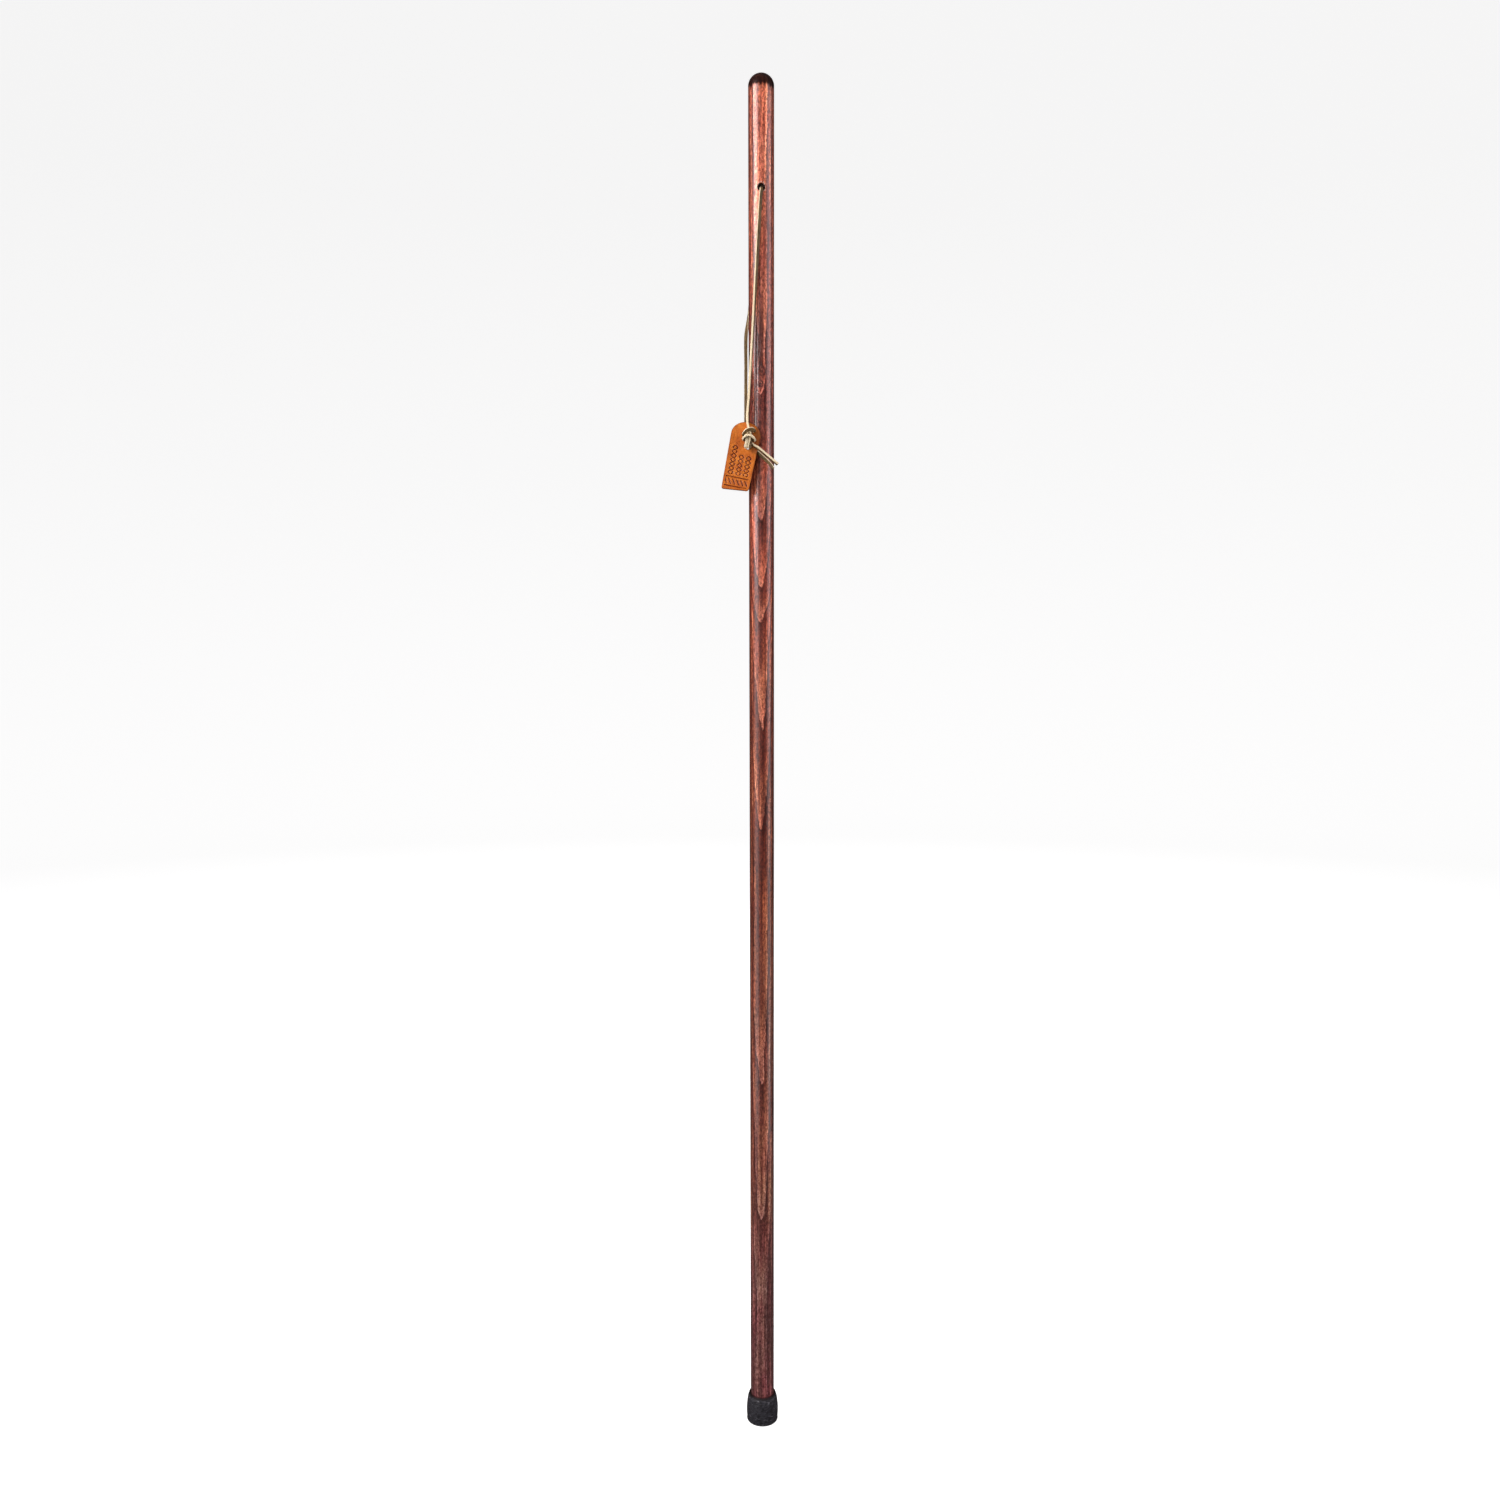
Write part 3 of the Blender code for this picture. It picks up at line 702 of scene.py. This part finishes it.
def build_tip(material):
    """The rubber tip: a lip, a slight barrel, ring grooves in the tread and two faint mould seams."""
    top = TIP_HIGH.z
    widest = TIP_HIGH.x
    rim = 14.2 * MM
    socket = FOOT_RADIUS + 0.04 * MM
    floor = 7.0 * MM
    flare = 0.9 * MM
    flare_depth = 1.5 * MM
    profile = [(0.05 * MM, floor), (socket, floor), (socket, top - flare_depth)]
    for i in range(1, 5):
        turn = math.pi / 2 * i / 4
        profile.append((socket + flare * (1 - math.cos(turn)), top - flare_depth * (1 - math.sin(turn))))
    rim_round = 0.7 * MM
    for i in range(5):
        turn = math.pi / 2 * i / 4
        profile.append((rim - rim_round * (1 - math.sin(turn)), top - rim_round * (1 - math.cos(turn))))
    profile += [
        (rim + 0.05 * MM, top - 1.5 * MM),
        (rim + 0.35 * MM, top - 2.1 * MM),
        (rim + 0.75 * MM, top - 2.7 * MM),
        (rim + 1.00 * MM, top - 3.6 * MM),
    ]
    barrel_top = top - 5.0 * MM
    barrel_foot = 3.0 * MM
    barrel_middle = 11.0 * MM
    steps = 20
    for i in range(steps + 1):
        z = barrel_top + (barrel_foot - barrel_top) * i / steps
        narrowing = ((z - barrel_middle) / (barrel_top - barrel_middle)) ** 2
        profile.append((widest - 1.1 * MM * narrowing, z))
    land = 14.6 * MM
    edge = 1.7 * MM
    for i in range(1, 9):
        turn = math.pi / 2 * i / 8
        profile.append((land + edge * math.cos(turn), edge * (1 - math.sin(turn))))
    for inner, outer in ((8.6 * MM, 10.4 * MM), (4.0 * MM, 5.6 * MM)):
        profile += [
            (outer + 0.25 * MM, 0.0),
            (outer, 0.22 * MM),
            (outer - 0.2 * MM, 1.3 * MM),
            (outer - 0.4 * MM, 1.5 * MM),
            (inner + 0.4 * MM, 1.5 * MM),
            (inner + 0.2 * MM, 1.3 * MM),
            (inner, 0.22 * MM),
            (inner - 0.25 * MM, 0.0),
        ]
    profile.append((0.05 * MM, 0.0))

    def shape(radius, height, angle):
        """Two mould seams, at the left and right, and a trace of unevenness in the moulding."""
        if radius < socket + flare + 0.1 * MM:
            return 0.0
        seam = 0.09 * MM * math.exp(-((math.cos(angle) * 40.0) ** 2))
        place = Vector((3.0 * math.sin(angle), 3.0 * math.cos(angle), height * 300.0))
        return min(seam + 0.04 * MM * noise.noise(place), widest + 0.1 * MM - radius)

    return lathe("ferrule_rubber", profile, 144, material, 40.0, shape)


def knot_stop(across, forward, up):
    return Vector((KNOT.x + across, KNOT.y - forward, KNOT.z + up))


def leg_stop(drop, y, left=None):
    if left is None:
        left = drop * LEG_SLOPE
    return Vector((HOLE.x - left, y, HOLE.z - drop))


def tag_stop(right, y, up):
    return Vector((TAG_PIVOT.x + right, y, TAG_PIVOT.z + up))


def knot_turn(right_z, left_z, next_z, arch):
    """One turn round the knot's two core strands: over the front to the left, and back behind them."""
    stops = []
    quarter = math.pi / 2
    front_pass = ((1, quarter), (1, quarter / 2), (1, 0.0), (-1, 0.0), (-1, -quarter / 2), (-1, -quarter))
    for side, angle in front_pass:
        across = side * CORE_HALF + LACE_STEP * math.sin(angle)
        share = 0.5 - 0.5 * across / (CORE_HALF + LACE_STEP)
        height = right_z + (left_z - right_z) * share + arch * math.cos(angle) ** 2
        stops.append(knot_stop(across, LACE_STEP * math.cos(angle), height))
    back_pass = ((-1, quarter / 2), (-1, 0.0), (1, 0.0), (1, quarter / 2))
    for side, angle in back_pass:
        across = side * (CORE_HALF + LACE_STEP * math.sin(angle))
        share = 0.5 + 0.5 * across / (CORE_HALF + LACE_STEP)
        stops.append(knot_stop(across, -LACE_STEP * math.cos(angle), left_z + (next_z - left_z) * share))
    return stops


def tag_bend(right):
    """A strand from the knot bends round, in front of the tag, and into the tag's hole."""
    middle_y = KNOT_BACK_Y - 0.3 * MM
    middle_up = 0.4 * MM
    bend = 2.4 * MM
    stops = []
    for degrees in (0, 45, 90, 130):
        angle = math.radians(degrees)
        y = middle_y - bend * math.cos(angle)
        up = middle_up - bend * math.sin(angle)
        stops.append(tag_stop(right, y, up))
    return stops


def lace_stops():
    """The lace's middle line, from the end that ties the knot to the end that hangs behind the tag."""
    strand = 1.8 * MM
    back = -LACE_STEP
    first_tail = [
        knot_stop(28.9 * MM, back + 0.6 * MM, -29.0 * MM),
        knot_stop(16.4 * MM, back, -18.6 * MM),
        knot_stop(9.0 * MM, back, -12.6 * MM),
        knot_stop(5.0 * MM, back, -10.4 * MM),
    ]
    upper = knot_turn(3.4 * MM, 0.0, -5.4 * MM, 2.6 * MM)
    lower = knot_turn(-5.4 * MM, -4.2 * MM, -9.4 * MM, 3.0 * MM)[:-1]
    turns = list(reversed(upper + lower))
    into_core = [
        knot_stop(4.4 * MM, -2.5 * MM, 3.9 * MM),
        knot_stop(2.0 * MM, back, 5.0 * MM),
        knot_stop(-0.4 * MM, back + 0.2 * MM, 4.8 * MM),
        knot_stop(-1.8 * MM, -1.5 * MM, 2.7 * MM),
        knot_stop(-CORE_HALF, 0.0, -0.6 * MM),
        knot_stop(-CORE_HALF, 0.0, -3.8 * MM),
        knot_stop(-CORE_HALF - 0.2 * MM, 0.2 * MM, -6.8 * MM),
    ]
    through_tag = [
        *tag_bend(-strand),
        tag_stop(-strand, BEHIND_TAG_Y - 1.1 * MM, 0.0),
        tag_stop(-strand, BEHIND_TAG_Y, 3.0 * MM),
    ]
    back_leg = [
        leg_stop(236 * MM, BEHIND_TAG_Y, 15.9 * MM),
        leg_stop(205 * MM, BEHIND_TAG_Y + 0.5 * MM, 15.9 * MM),
        leg_stop(178 * MM, -11.0 * MM, 15.8 * MM),
        leg_stop(157 * MM, -4.0 * MM, 15.9 * MM),
        leg_stop(142 * MM, 4.0 * MM, 15.6 * MM),
        leg_stop(128 * MM, 12.0 * MM, 14.0 * MM),
        leg_stop(116 * MM, LEG_Y, 12.4 * MM),
        leg_stop(60 * MM, LEG_Y, 6.2 * MM),
        leg_stop(20 * MM, LEG_Y, 1.9 * MM),
        leg_stop(7 * MM, LEG_Y, 0.6 * MM),
    ]
    bend = LACE_RADIUS + 1.5 * GAP
    slant = bend * math.sqrt(0.5)
    through_hole = [
        leg_stop(HOLE_RADIUS, TOP_RADIUS + bend, 0.0),
        leg_stop(HOLE_RADIUS - slant, TOP_RADIUS + slant, 0.0),
        leg_stop(LACE_IN_HOLE, TOP_RADIUS - 0.2 * MM, 0.0),
        leg_stop(LACE_IN_HOLE, TOP_RADIUS - 3.0 * MM, 0.0),
        leg_stop(LACE_IN_HOLE, -TOP_RADIUS + 3.0 * MM, 0.0),
        leg_stop(LACE_IN_HOLE, -TOP_RADIUS + 0.2 * MM, 0.0),
        leg_stop(HOLE_RADIUS - slant, -TOP_RADIUS - slant, 0.0),
        leg_stop(HOLE_RADIUS, -TOP_RADIUS - bend, 0.0),
    ]
    front_leg = [
        leg_stop(9 * MM, -LEG_Y),
        leg_stop(60 * MM, -LEG_Y),
        leg_stop(120 * MM, -LEG_Y),
        leg_stop(170 * MM, -LEG_Y - 0.6 * MM),
        leg_stop(208 * MM, -LEG_Y - 3.0 * MM),
        leg_stop(231 * MM, KNOT_BACK_Y - 0.3 * MM),
        knot_stop(-0.6 * MM, -0.3 * MM, 8.2 * MM),
        knot_stop(1.3 * MM, 0.0, 3.6 * MM),
        knot_stop(CORE_HALF, 0.0, -1.0 * MM),
        knot_stop(CORE_HALF - 0.2 * MM, 0.3 * MM, -6.6 * MM),
    ]
    second_tail = [
        *tag_bend(strand),
        tag_stop(strand - 0.2 * MM, TAG_Y + 1.1 * MM, -0.8 * MM),
        tag_stop(3.3 * MM, BEHIND_TAG_Y + 0.7 * MM, -0.9 * MM),
        tag_stop(8.0 * MM, BEHIND_TAG_Y, -4.2 * MM),
        tag_stop(16.6 * MM, BEHIND_TAG_Y, -11.6 * MM),
        tag_stop(22.0 * MM, BEHIND_TAG_Y, -16.8 * MM),
        tag_stop(25.4 * MM, BEHIND_TAG_Y, -21.8 * MM),
    ]
    return first_tail + turns + into_core + through_tag + back_leg + through_hole + front_leg + second_tail


def smooth_path(stops, spacing):
    """A centripetal Catmull-Rom curve through the stops, with points about `spacing` apart."""
    ends = [stops[0] * 2 - stops[1], *stops, stops[-1] * 2 - stops[-2]]
    points = []
    for a, b, c, d in zip(ends, ends[1:], ends[2:], ends[3:]):
        t1 = (b - a).length ** 0.5
        t2 = t1 + (c - b).length ** 0.5
        t3 = t2 + (d - c).length ** 0.5
        steps = max(1, round((c - b).length / spacing))
        for i in range(steps):
            t = t1 + (t2 - t1) * i / steps
            ab = a.lerp(b, t / t1)
            bc = b.lerp(c, (t - t1) / (t2 - t1))
            cd = c.lerp(d, (t - t2) / (t3 - t2))
            points.append(ab.lerp(bc, t / t2).lerp(bc.lerp(cd, (t - t1) / (t3 - t1)), (t - t1) / (t2 - t1)))
    points.append(stops[-1].copy())
    return points


def side_vectors(path, tangents, fixed_at, fixed_side):
    """A sideways vector at each point, carried along the path from `fixed_side` without twisting."""
    sides = [None] * len(path)
    t = tangents[fixed_at]
    sides[fixed_at] = (fixed_side - t * fixed_side.dot(t)).normalized()
    for step in (1, -1):
        i = fixed_at
        while 0 <= i + step < len(path):
            carried = tangents[i].rotation_difference(tangents[i + step]) @ sides[i]
            t = tangents[i + step]
            sides[i + step] = (carried - t * carried.dot(t)).normalized()
            i += step
    return sides


def build_lace(material):
    path = smooth_path(lace_stops(), 0.8 * MM)
    tangents = []
    for i, here in enumerate(path):
        before = path[max(i - 1, 0)]
        after = path[min(i + 1, len(path) - 1)]
        tangents.append((after - before).normalized())

    def nearest(place):
        return min(range(len(path)), key=lambda i: (path[i] - place).length)

    # The front leg shows its grain side to the front and right, and a cut side to the left, whose pale
    # colour is a painted lit side towards the light.
    middle = nearest(leg_stop(60 * MM, -LEG_Y))
    sides = side_vectors(path, tangents, middle, Vector((0.88, 0.47, 0.0)))

    # The back leg turns over on its way round to the front, showing its dark grain side as painted shade,
    # and the front leg twists a little as it falls, turning more of its pale cut side to the front as a
    # painted lit side.
    turned_over = nearest(leg_stop(178 * MM, -11.0 * MM, 15.8 * MM))
    at_hole = nearest(leg_stop(20 * MM, LEG_Y, 1.9 * MM))
    twist_from = nearest(leg_stop(30 * MM, -LEG_Y))
    twist_to = nearest(leg_stop(190 * MM, -LEG_Y))
    tail_root = nearest(knot_stop(5.0 * MM, -LACE_STEP, -10.4 * MM))
    core_top = nearest(knot_stop(1.3 * MM, 0.0, 3.6 * MM))
    core_foot = nearest(knot_stop(CORE_HALF - 0.2 * MM, 0.3 * MM, -6.6 * MM))
    hole_middle = Vector((TAG_PIVOT.x, TAG_Y, TAG_PIVOT.z))
    natural_twist = math.radians(16.0)
    back_leg_turn = math.radians(200.0)
    front_leg_turn = math.radians(-55.0)
    tail_turn = math.radians(-50.0)
    core_turn = math.radians(48.0)
    tail_steps = 12
    squeeze = 0.12
    squeeze_reach = 3.0 * MM
    corners = 20
    squareness = 0.55
    points = []
    raw = []
    for i, (here, along, side) in enumerate(zip(path, tangents, sides)):
        turn = natural_twist * noise.noise(Vector((i * 0.012, 3.7, 0.0)))
        turn += back_leg_turn * soft_step(i, at_hole, turned_over)
        turn += front_leg_turn * soft_step(i, twist_from, twist_to)
        # Inside the knot, the first tail turns its pale cut side up as a painted lit top, and the second
        # strand turns its grain side out.
        turn += tail_turn * np.interp(i, (tail_root, tail_root + tail_steps), (1.0, 0.0))
        turn += core_turn * np.interp(i, (core_top, core_foot), (0.0, 1.0))
        side = Matrix.Rotation(turn, 3, along) @ side
        out = along.cross(side)
        end = min(i, len(path) - 1 - i)
        cut_swell = 0.05 if end < 3 else 0.0
        swell = 1.0 + 0.035 * noise.noise(Vector((i * 0.11, 9.1, 0.0))) + cut_swell
        # The two strands that share the tag's hole squeeze each other thinner.
        swell -= squeeze * math.exp(-((here - hole_middle).length / squeeze_reach) ** 2)
        for k in range(corners):
            angle = 2 * math.pi * k / corners
            c = math.cos(angle)
            s = math.sin(angle)
            across = math.copysign(abs(c) ** squareness, c) * LACE_HALF_WIDTH * swell
            through = math.copysign(abs(s) ** squareness, s) * LACE_HALF_THICKNESS * swell
            rough = 1.0 + 0.02 * noise.noise(here * 900.0 + Vector((k * 0.7, 0.0, 0.0)))
            points.append(here + (side * across + out * through) * rough)
            raw.append(0.0 if s > 0.55 else 1.0)
    # The ends are cut square, with the middle of each cut slightly proud.
    faces = ring_faces(len(path), corners)
    for ring, centre, out in ((0, path[0], -tangents[0]), (len(path) - 1, path[-1], tangents[-1])):
        tip = len(points)
        points.append(centre + out * 0.25 * MM)
        raw.append(1.0)
        for k in range(corners):
            faces.append((ring * corners + k, ring * corners + (k + 1) % corners, tip))
    lace = new_object("lanyard_lace_leather", points, faces, material, 60.0)
    if len(lace.data.vertices) != len(raw):
        raise ValueError("the lace lost vertices when it was welded")
    values = lace.data.attributes.new("raw", "FLOAT", "POINT")
    values.data.foreach_set("value", np.array(raw, np.float32))
    return lace


def tag_outline(steps):
    """The tag's edge with the hole's middle at the origin, as `steps` points evenly spaced round it."""
    half_foot = TAG_FOOT_WIDTH / 2
    half_top = TAG_TOP_WIDTH / 2
    shoulder = TAG_LENGTH - TAG_ARCH
    dense = []
    for side in (-1, 1):
        for i in range(13):
            angle = math.pi / 2 * (i if side < 0 else 12 - i) / 12
            x = side * (half_foot - TAG_CORNER + TAG_CORNER * math.cos(angle))
            dense.append((x, TAG_CORNER - TAG_CORNER * math.sin(angle) + TAG_FOOT_SKEW / 2 * x / half_foot))
    for i in range(61):
        angle = math.pi * i / 60
        dense.append((half_top * math.cos(angle), shoulder + TAG_ARCH * math.sin(angle)))
    dense = np.array(dense + dense[:1]) - np.array((TAG_HOLE_RIGHT, TAG_HOLE_UP))
    travelled = np.concatenate([[0.0], np.cumsum(np.linalg.norm(np.diff(dense, axis=0), axis=1))])
    at = np.linspace(0.0, travelled[-1], steps, endpoint=False)
    return np.stack([np.interp(at, travelled, dense[:, k]) for k in (0, 1)], axis=1)


def distance_to_ring(points, ring):
    """The distance of each point to a closed outline."""
    best = np.full(len(points), 1e9)
    for a, b in zip(ring, np.roll(ring, -1, axis=0)):
        along = b - a
        t = np.clip(((points - a) @ along) / (along @ along), 0.0, 1.0)
        best = np.minimum(best, np.linalg.norm(points - (a + t[:, None] * along), axis=1))
    return best


def stroke(off, width):
    """The depth of a tooled line where its middle is `off` away."""
    return np.exp(-((off / (width / 2)) ** 4))


def between(value, low, high):
    softness = 0.5 * MM
    return soft_step(value, low, low + softness) * (1 - soft_step(value, high, high + softness))


def tooling(points, outline):
    """Depth of the tooling from 0 to 1: three plaits up the tag over a band of slanted strokes."""
    inset = distance_to_ring(points, outline)
    across = points[:, 0] + TAG_HOLE_RIGHT
    up = points[:, 1] + TAG_HOLE_UP
    from_hole = np.linalg.norm(points, axis=1)
    inside_edge = soft_step(inset, 2.0 * MM, 2.5 * MM)
    foot = 14.6 * MM
    plait_pitch = 8.4 * MM
    cord = 1.5 * MM
    depth = np.zeros(len(points))
    for middle, repeats in ((-7.6 * MM, 3.5), (0.2 * MM, 2.5), (7.8 * MM, 2.5)):
        off = across - middle
        wave = 2.2 * MM * np.sin(2 * np.pi * (up - foot) / plait_pitch)
        plait = np.maximum(stroke(off - wave, cord), stroke(off + wave, cord))
        depth = np.maximum(depth, plait * between(up, foot, foot + repeats * plait_pitch))
    depth *= soft_step(from_hole, 6.4 * MM, 7.0 * MM)
    slant_pitch = 4.2 * MM
    slanted = np.abs(((across + 0.6 * up) / slant_pitch) % 1.0 - 0.5) * slant_pitch
    band = between(up, 5.0 * MM, 10.4 * MM) * inside_edge
    depth = np.maximum(depth, stroke(slanted, 1.6 * MM) * band)
    for height in (3.2 * MM, 12.6 * MM):
        depth = np.maximum(depth, stroke(up - height, 1.2 * MM) * inside_edge)
    return depth


def build_tag(material):
    spokes = 384
    outer = tag_outline(spokes)
    angles = np.arctan2(outer[:, 1], outer[:, 0])
    # The lace has drawn the hole's lower lip up against itself.
    lip_radius = (TAG_HOLE_RADIUS - 0.1 * MM) * (1 - 0.18 * np.clip(-np.sin(angles), 0.0, 1.0) ** 2)
    inner = lip_radius[:, None] * np.stack([np.cos(angles), np.sin(angles)], axis=1)
    half = TAG_THICKNESS / 2
    edge = 0.5 * MM
    face_steps = 120
    rim_steps = 5
    # One face from the hole's lip to the outer lip
    reach = np.linalg.norm(outer - inner, axis=1)[:, None]
    start = edge / reach
    shares = [start + (1 - 2 * start) * step / face_steps for step in range(face_steps + 1)]
    face = np.array([inner + (outer - inner) * share for share in shares])
    flat = face.reshape(-1, 2)
    depth = tooling(flat, outer).reshape(face.shape[:2])
    inset = distance_to_ring(flat, outer).reshape(face.shape[:2])

    def curl(p):
        """A leather tag never hangs quite flat: its left side and foot curl a little forwards."""
        left = np.clip((-p[..., 0] - 7.0 * MM) / (12.0 * MM), 0.0, 2.0)
        down = np.clip((-p[..., 1] - 15.0 * MM) / (26.0 * MM), 0.0, 1.0)
        return 0.45 * MM * left * left + 0.35 * MM * down * down

    rings, marks, edge_and_shadow_darks = [], [], []

    def add(plane, height, mark, dark):
        rings.append(np.concatenate([plane, (height + curl(plane))[:, None]], axis=1))
        marks.append(np.broadcast_to(mark, (spokes,)))
        edge_and_shadow_darks.append(np.broadcast_to(dark, (spokes,)))

    def add_edge(base, away, from_front, dark):
        """A rounded edge, from the front to the back, or the other way if `from_front` is -1."""
        for i in range(1, 2 * rim_steps):
            turn = from_front * math.pi / 2 * (1 - i / rim_steps)
            bulge = edge * (1 - abs(math.sin(turn)))
            height = math.copysign(half - bulge, math.sin(turn)) if i != rim_steps else 0.0
            add(base + away * bulge, np.full(spokes, height), 0.0, dark)

    tool_depth = 0.55 * MM
    outward = (outer - inner) / reach
    for step in range(face_steps + 1):
        # Painted shadow: the knot's shadow darkens the leather between the hole and the right side of the
        # arch.
        right, up = face[step].T
        knot_shadow = soft_step(right, 3.8 * MM, 5.6 * MM) * soft_step(up, -9.0 * MM, -4.0 * MM)
        lip = 0.25 * np.exp(-((inset[step] - edge) / (0.7 * MM)) ** 2) + 0.60 * knot_shadow
        add(face[step], half - tool_depth * depth[step], depth[step], lip)
    # Round the outer edge, back along the rear face, and round the hole's edge to the front again
    add_edge(face[-1], outward, 1, 1.0)
    for step in range(face_steps, -1, -3):
        add(face[step], np.full(spokes, -half), 0.0, 0.12)
    add_edge(face[0], -outward, -1, 0.9)
    local = np.concatenate(rings)
    faces = ring_faces(len(rings), spokes)
    last = (len(rings) - 1) * spokes
    for i in range(spokes):
        j = (i + 1) % spokes
        faces.append((last + i, last + j, j, i))
    lean = Matrix.Rotation(TAG_LEAN, 4, "Y")
    points = [
        Vector((TAG_PIVOT.x, TAG_Y, TAG_PIVOT.z)) + (lean @ Vector((x, -height, up)))
        for x, up, height in local
    ]
    tag = new_object("hang_tag_leather", points, faces, material, 60.0)
    if len(tag.data.vertices) != len(points):
        raise ValueError("the tag lost vertices when it was welded")
    for name, values in (("tooled", marks), ("edge", edge_and_shadow_darks)):
        layer = tag.data.attributes.new(name, "FLOAT", "POINT")
        layer.data.foreach_set("value", np.concatenate(values).astype(np.float32))
    return tag


# ---------------- studio


def build_studio():
    """A bowl of pale paper: a flat floor that curves up into a wall all round.

    It looks pale to the camera, and throws almost no light back, so that the staff's edges stay dark.
    """
    f = Finish("studio_paper")
    paper = f.noise((40.0, 40.0, 40.0), detail=3.0)
    f.set(colour=f.mix(paper, (0.40, 0.40, 0.40), (0.42, 0.42, 0.42)), roughness=0.9, specular=0.1)
    f.feed(f.shader.inputs["Emission Color"], (1.0, 1.0, 1.0))
    f.feed(f.shader.inputs["Emission Strength"], 0.86)
    seen = f.node("ShaderNodeLightPath", {}).outputs["Is Camera Ray"]
    unlit = f.node("ShaderNodeBsdfDiffuse", {"Color": (0.04, 0.04, 0.04)})
    mix = f.node("ShaderNodeMixShader", {0: seen, 1: unlit.outputs[0], 2: f.shader.outputs[0]})
    f.feed(f.tree.nodes["Material Output"].inputs[0], mix.outputs[0])

    floor_reach = CAD_HIGH.z * 3.6
    bend = CAD_HIGH.z * 1.6
    wall_top = CAD_HIGH.z * 6
    profile = [(0.001, CAD_LOW.z), (floor_reach, CAD_LOW.z)]
    for i in range(1, 17):
        turn = math.pi / 2 * i / 16
        profile.append((floor_reach + bend * math.sin(turn), CAD_LOW.z + bend * (1 - math.cos(turn))))
    profile.append((floor_reach + bend, wall_top))
    lathe("studio_floor", profile, 128, f.material, 60.0)


def add_light(name, place, aim, width, height, watts, colour=(1.0, 1.0, 1.0), glossy=True):
    light = bpy.data.lights.new(name, "AREA")
    light.shape = "RECTANGLE"
    light.size = width
    light.size_y = height
    light.energy = watts
    light.color = colour
    obj = bpy.data.objects.new(name, light)
    obj.location = place
    obj.rotation_euler = (Vector(aim) - Vector(place)).to_track_quat("-Z", "Y").to_euler()
    obj.visible_glossy = glossy
    obj.visible_camera = False
    bpy.context.scene.collection.objects.link(obj)


def build_lights_and_camera():
    scene = bpy.context.scene
    tall = CAD_HIGH.z
    middle = Vector((0.0, 0.0, tall * 0.55))
    above_middle = middle + Vector((0.0, 0.0, 0.35))
    low_middle = Vector((0.0, 0.0, 0.50))
    add_light("softbox_left", (-1.40, -1.05, tall * 1.25), above_middle, 1.2, 1.3, 41.0, (1.0, 0.93, 0.95))
    add_light("softbox_right", (1.50, -0.50, tall * 1.0), middle, 1.1, 1.5, 14.0, (1.0, 0.90, 0.96))
    add_light("strip_left", (-0.54, -0.45, 0.52), low_middle, 0.48, 0.96, 2.3, (1.0, 0.93, 0.94))
    add_light("strip_right", (0.66, -0.22, 0.40), low_middle, 0.40, 0.72, 1.6, (1.0, 0.93, 0.96))
    add_light("front_fill", (-0.3, -3.0, tall * 0.9), middle, 2.2, 1.6, 27.0, glossy=False)
    add_light("back_fill", (0.3, 3.0, tall * 0.9), middle, 2.2, 1.6, 14.0, glossy=False)
    add_light("overhead", (0.0, 1.2, tall * 2.4), (0.0, 1.6, 0.0), 3.6, 2.4, 90.0, glossy=False)

    world = bpy.data.worlds.new("studio_world")
    world.use_nodes = True
    tree = world.node_tree
    background = tree.nodes["Background"]
    path = tree.nodes.new("ShaderNodeLightPath")
    mix = tree.nodes.new("ShaderNodeMix")
    mix.data_type = "RGBA"
    mix.inputs[6].default_value = (0.26, 0.25, 0.25, 1.0)
    mix.inputs[7].default_value = (0.96, 0.96, 0.96, 1.0)
    tree.links.new(path.outputs["Is Camera Ray"], mix.inputs[0])
    tree.links.new(mix.outputs[2], background.inputs["Color"])
    background.inputs["Strength"].default_value = 1.0
    scene.world = world

    lens = bpy.data.cameras.new("camera")
    lens.lens = 28.87
    lens.sensor_width = 36.0
    camera = bpy.data.objects.new("camera", lens)
    camera.location = (-12.1 * MM, -0.8923 * tall, 0.5584 * tall)
    camera.rotation_euler = (math.radians(87.0), math.radians(0.084), 0.0)
    scene.collection.objects.link(camera)
    scene.camera = camera
    scene.view_settings.view_transform = "Standard"
    scene.view_settings.look = "None"


def dress():
    """Puts each visible piece on its body, in place of the CAD node it stands for."""
    pieces = (
        (build_staff(wood_finish()), "stick", "staff", "stained_wood"),
        (build_tip(rubber_finish()), "stick", "ferrule", "black_rubber"),
        (build_lace(lace_finish()), "lanyard", "lanyard_lace", "lace_leather"),
        (build_tag(tag_finish()), "tag", "hang_tag", "tag_leather"),
    )
    for piece, body, node, slot in pieces:
        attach(piece, body)
        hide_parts(node)
    washer = frame["nodes"]["ferrule_washer"]
    washer.data.materials.clear()
    washer.data.materials.append(steel_finish())


dress()
build_studio()
build_lights_and_camera()
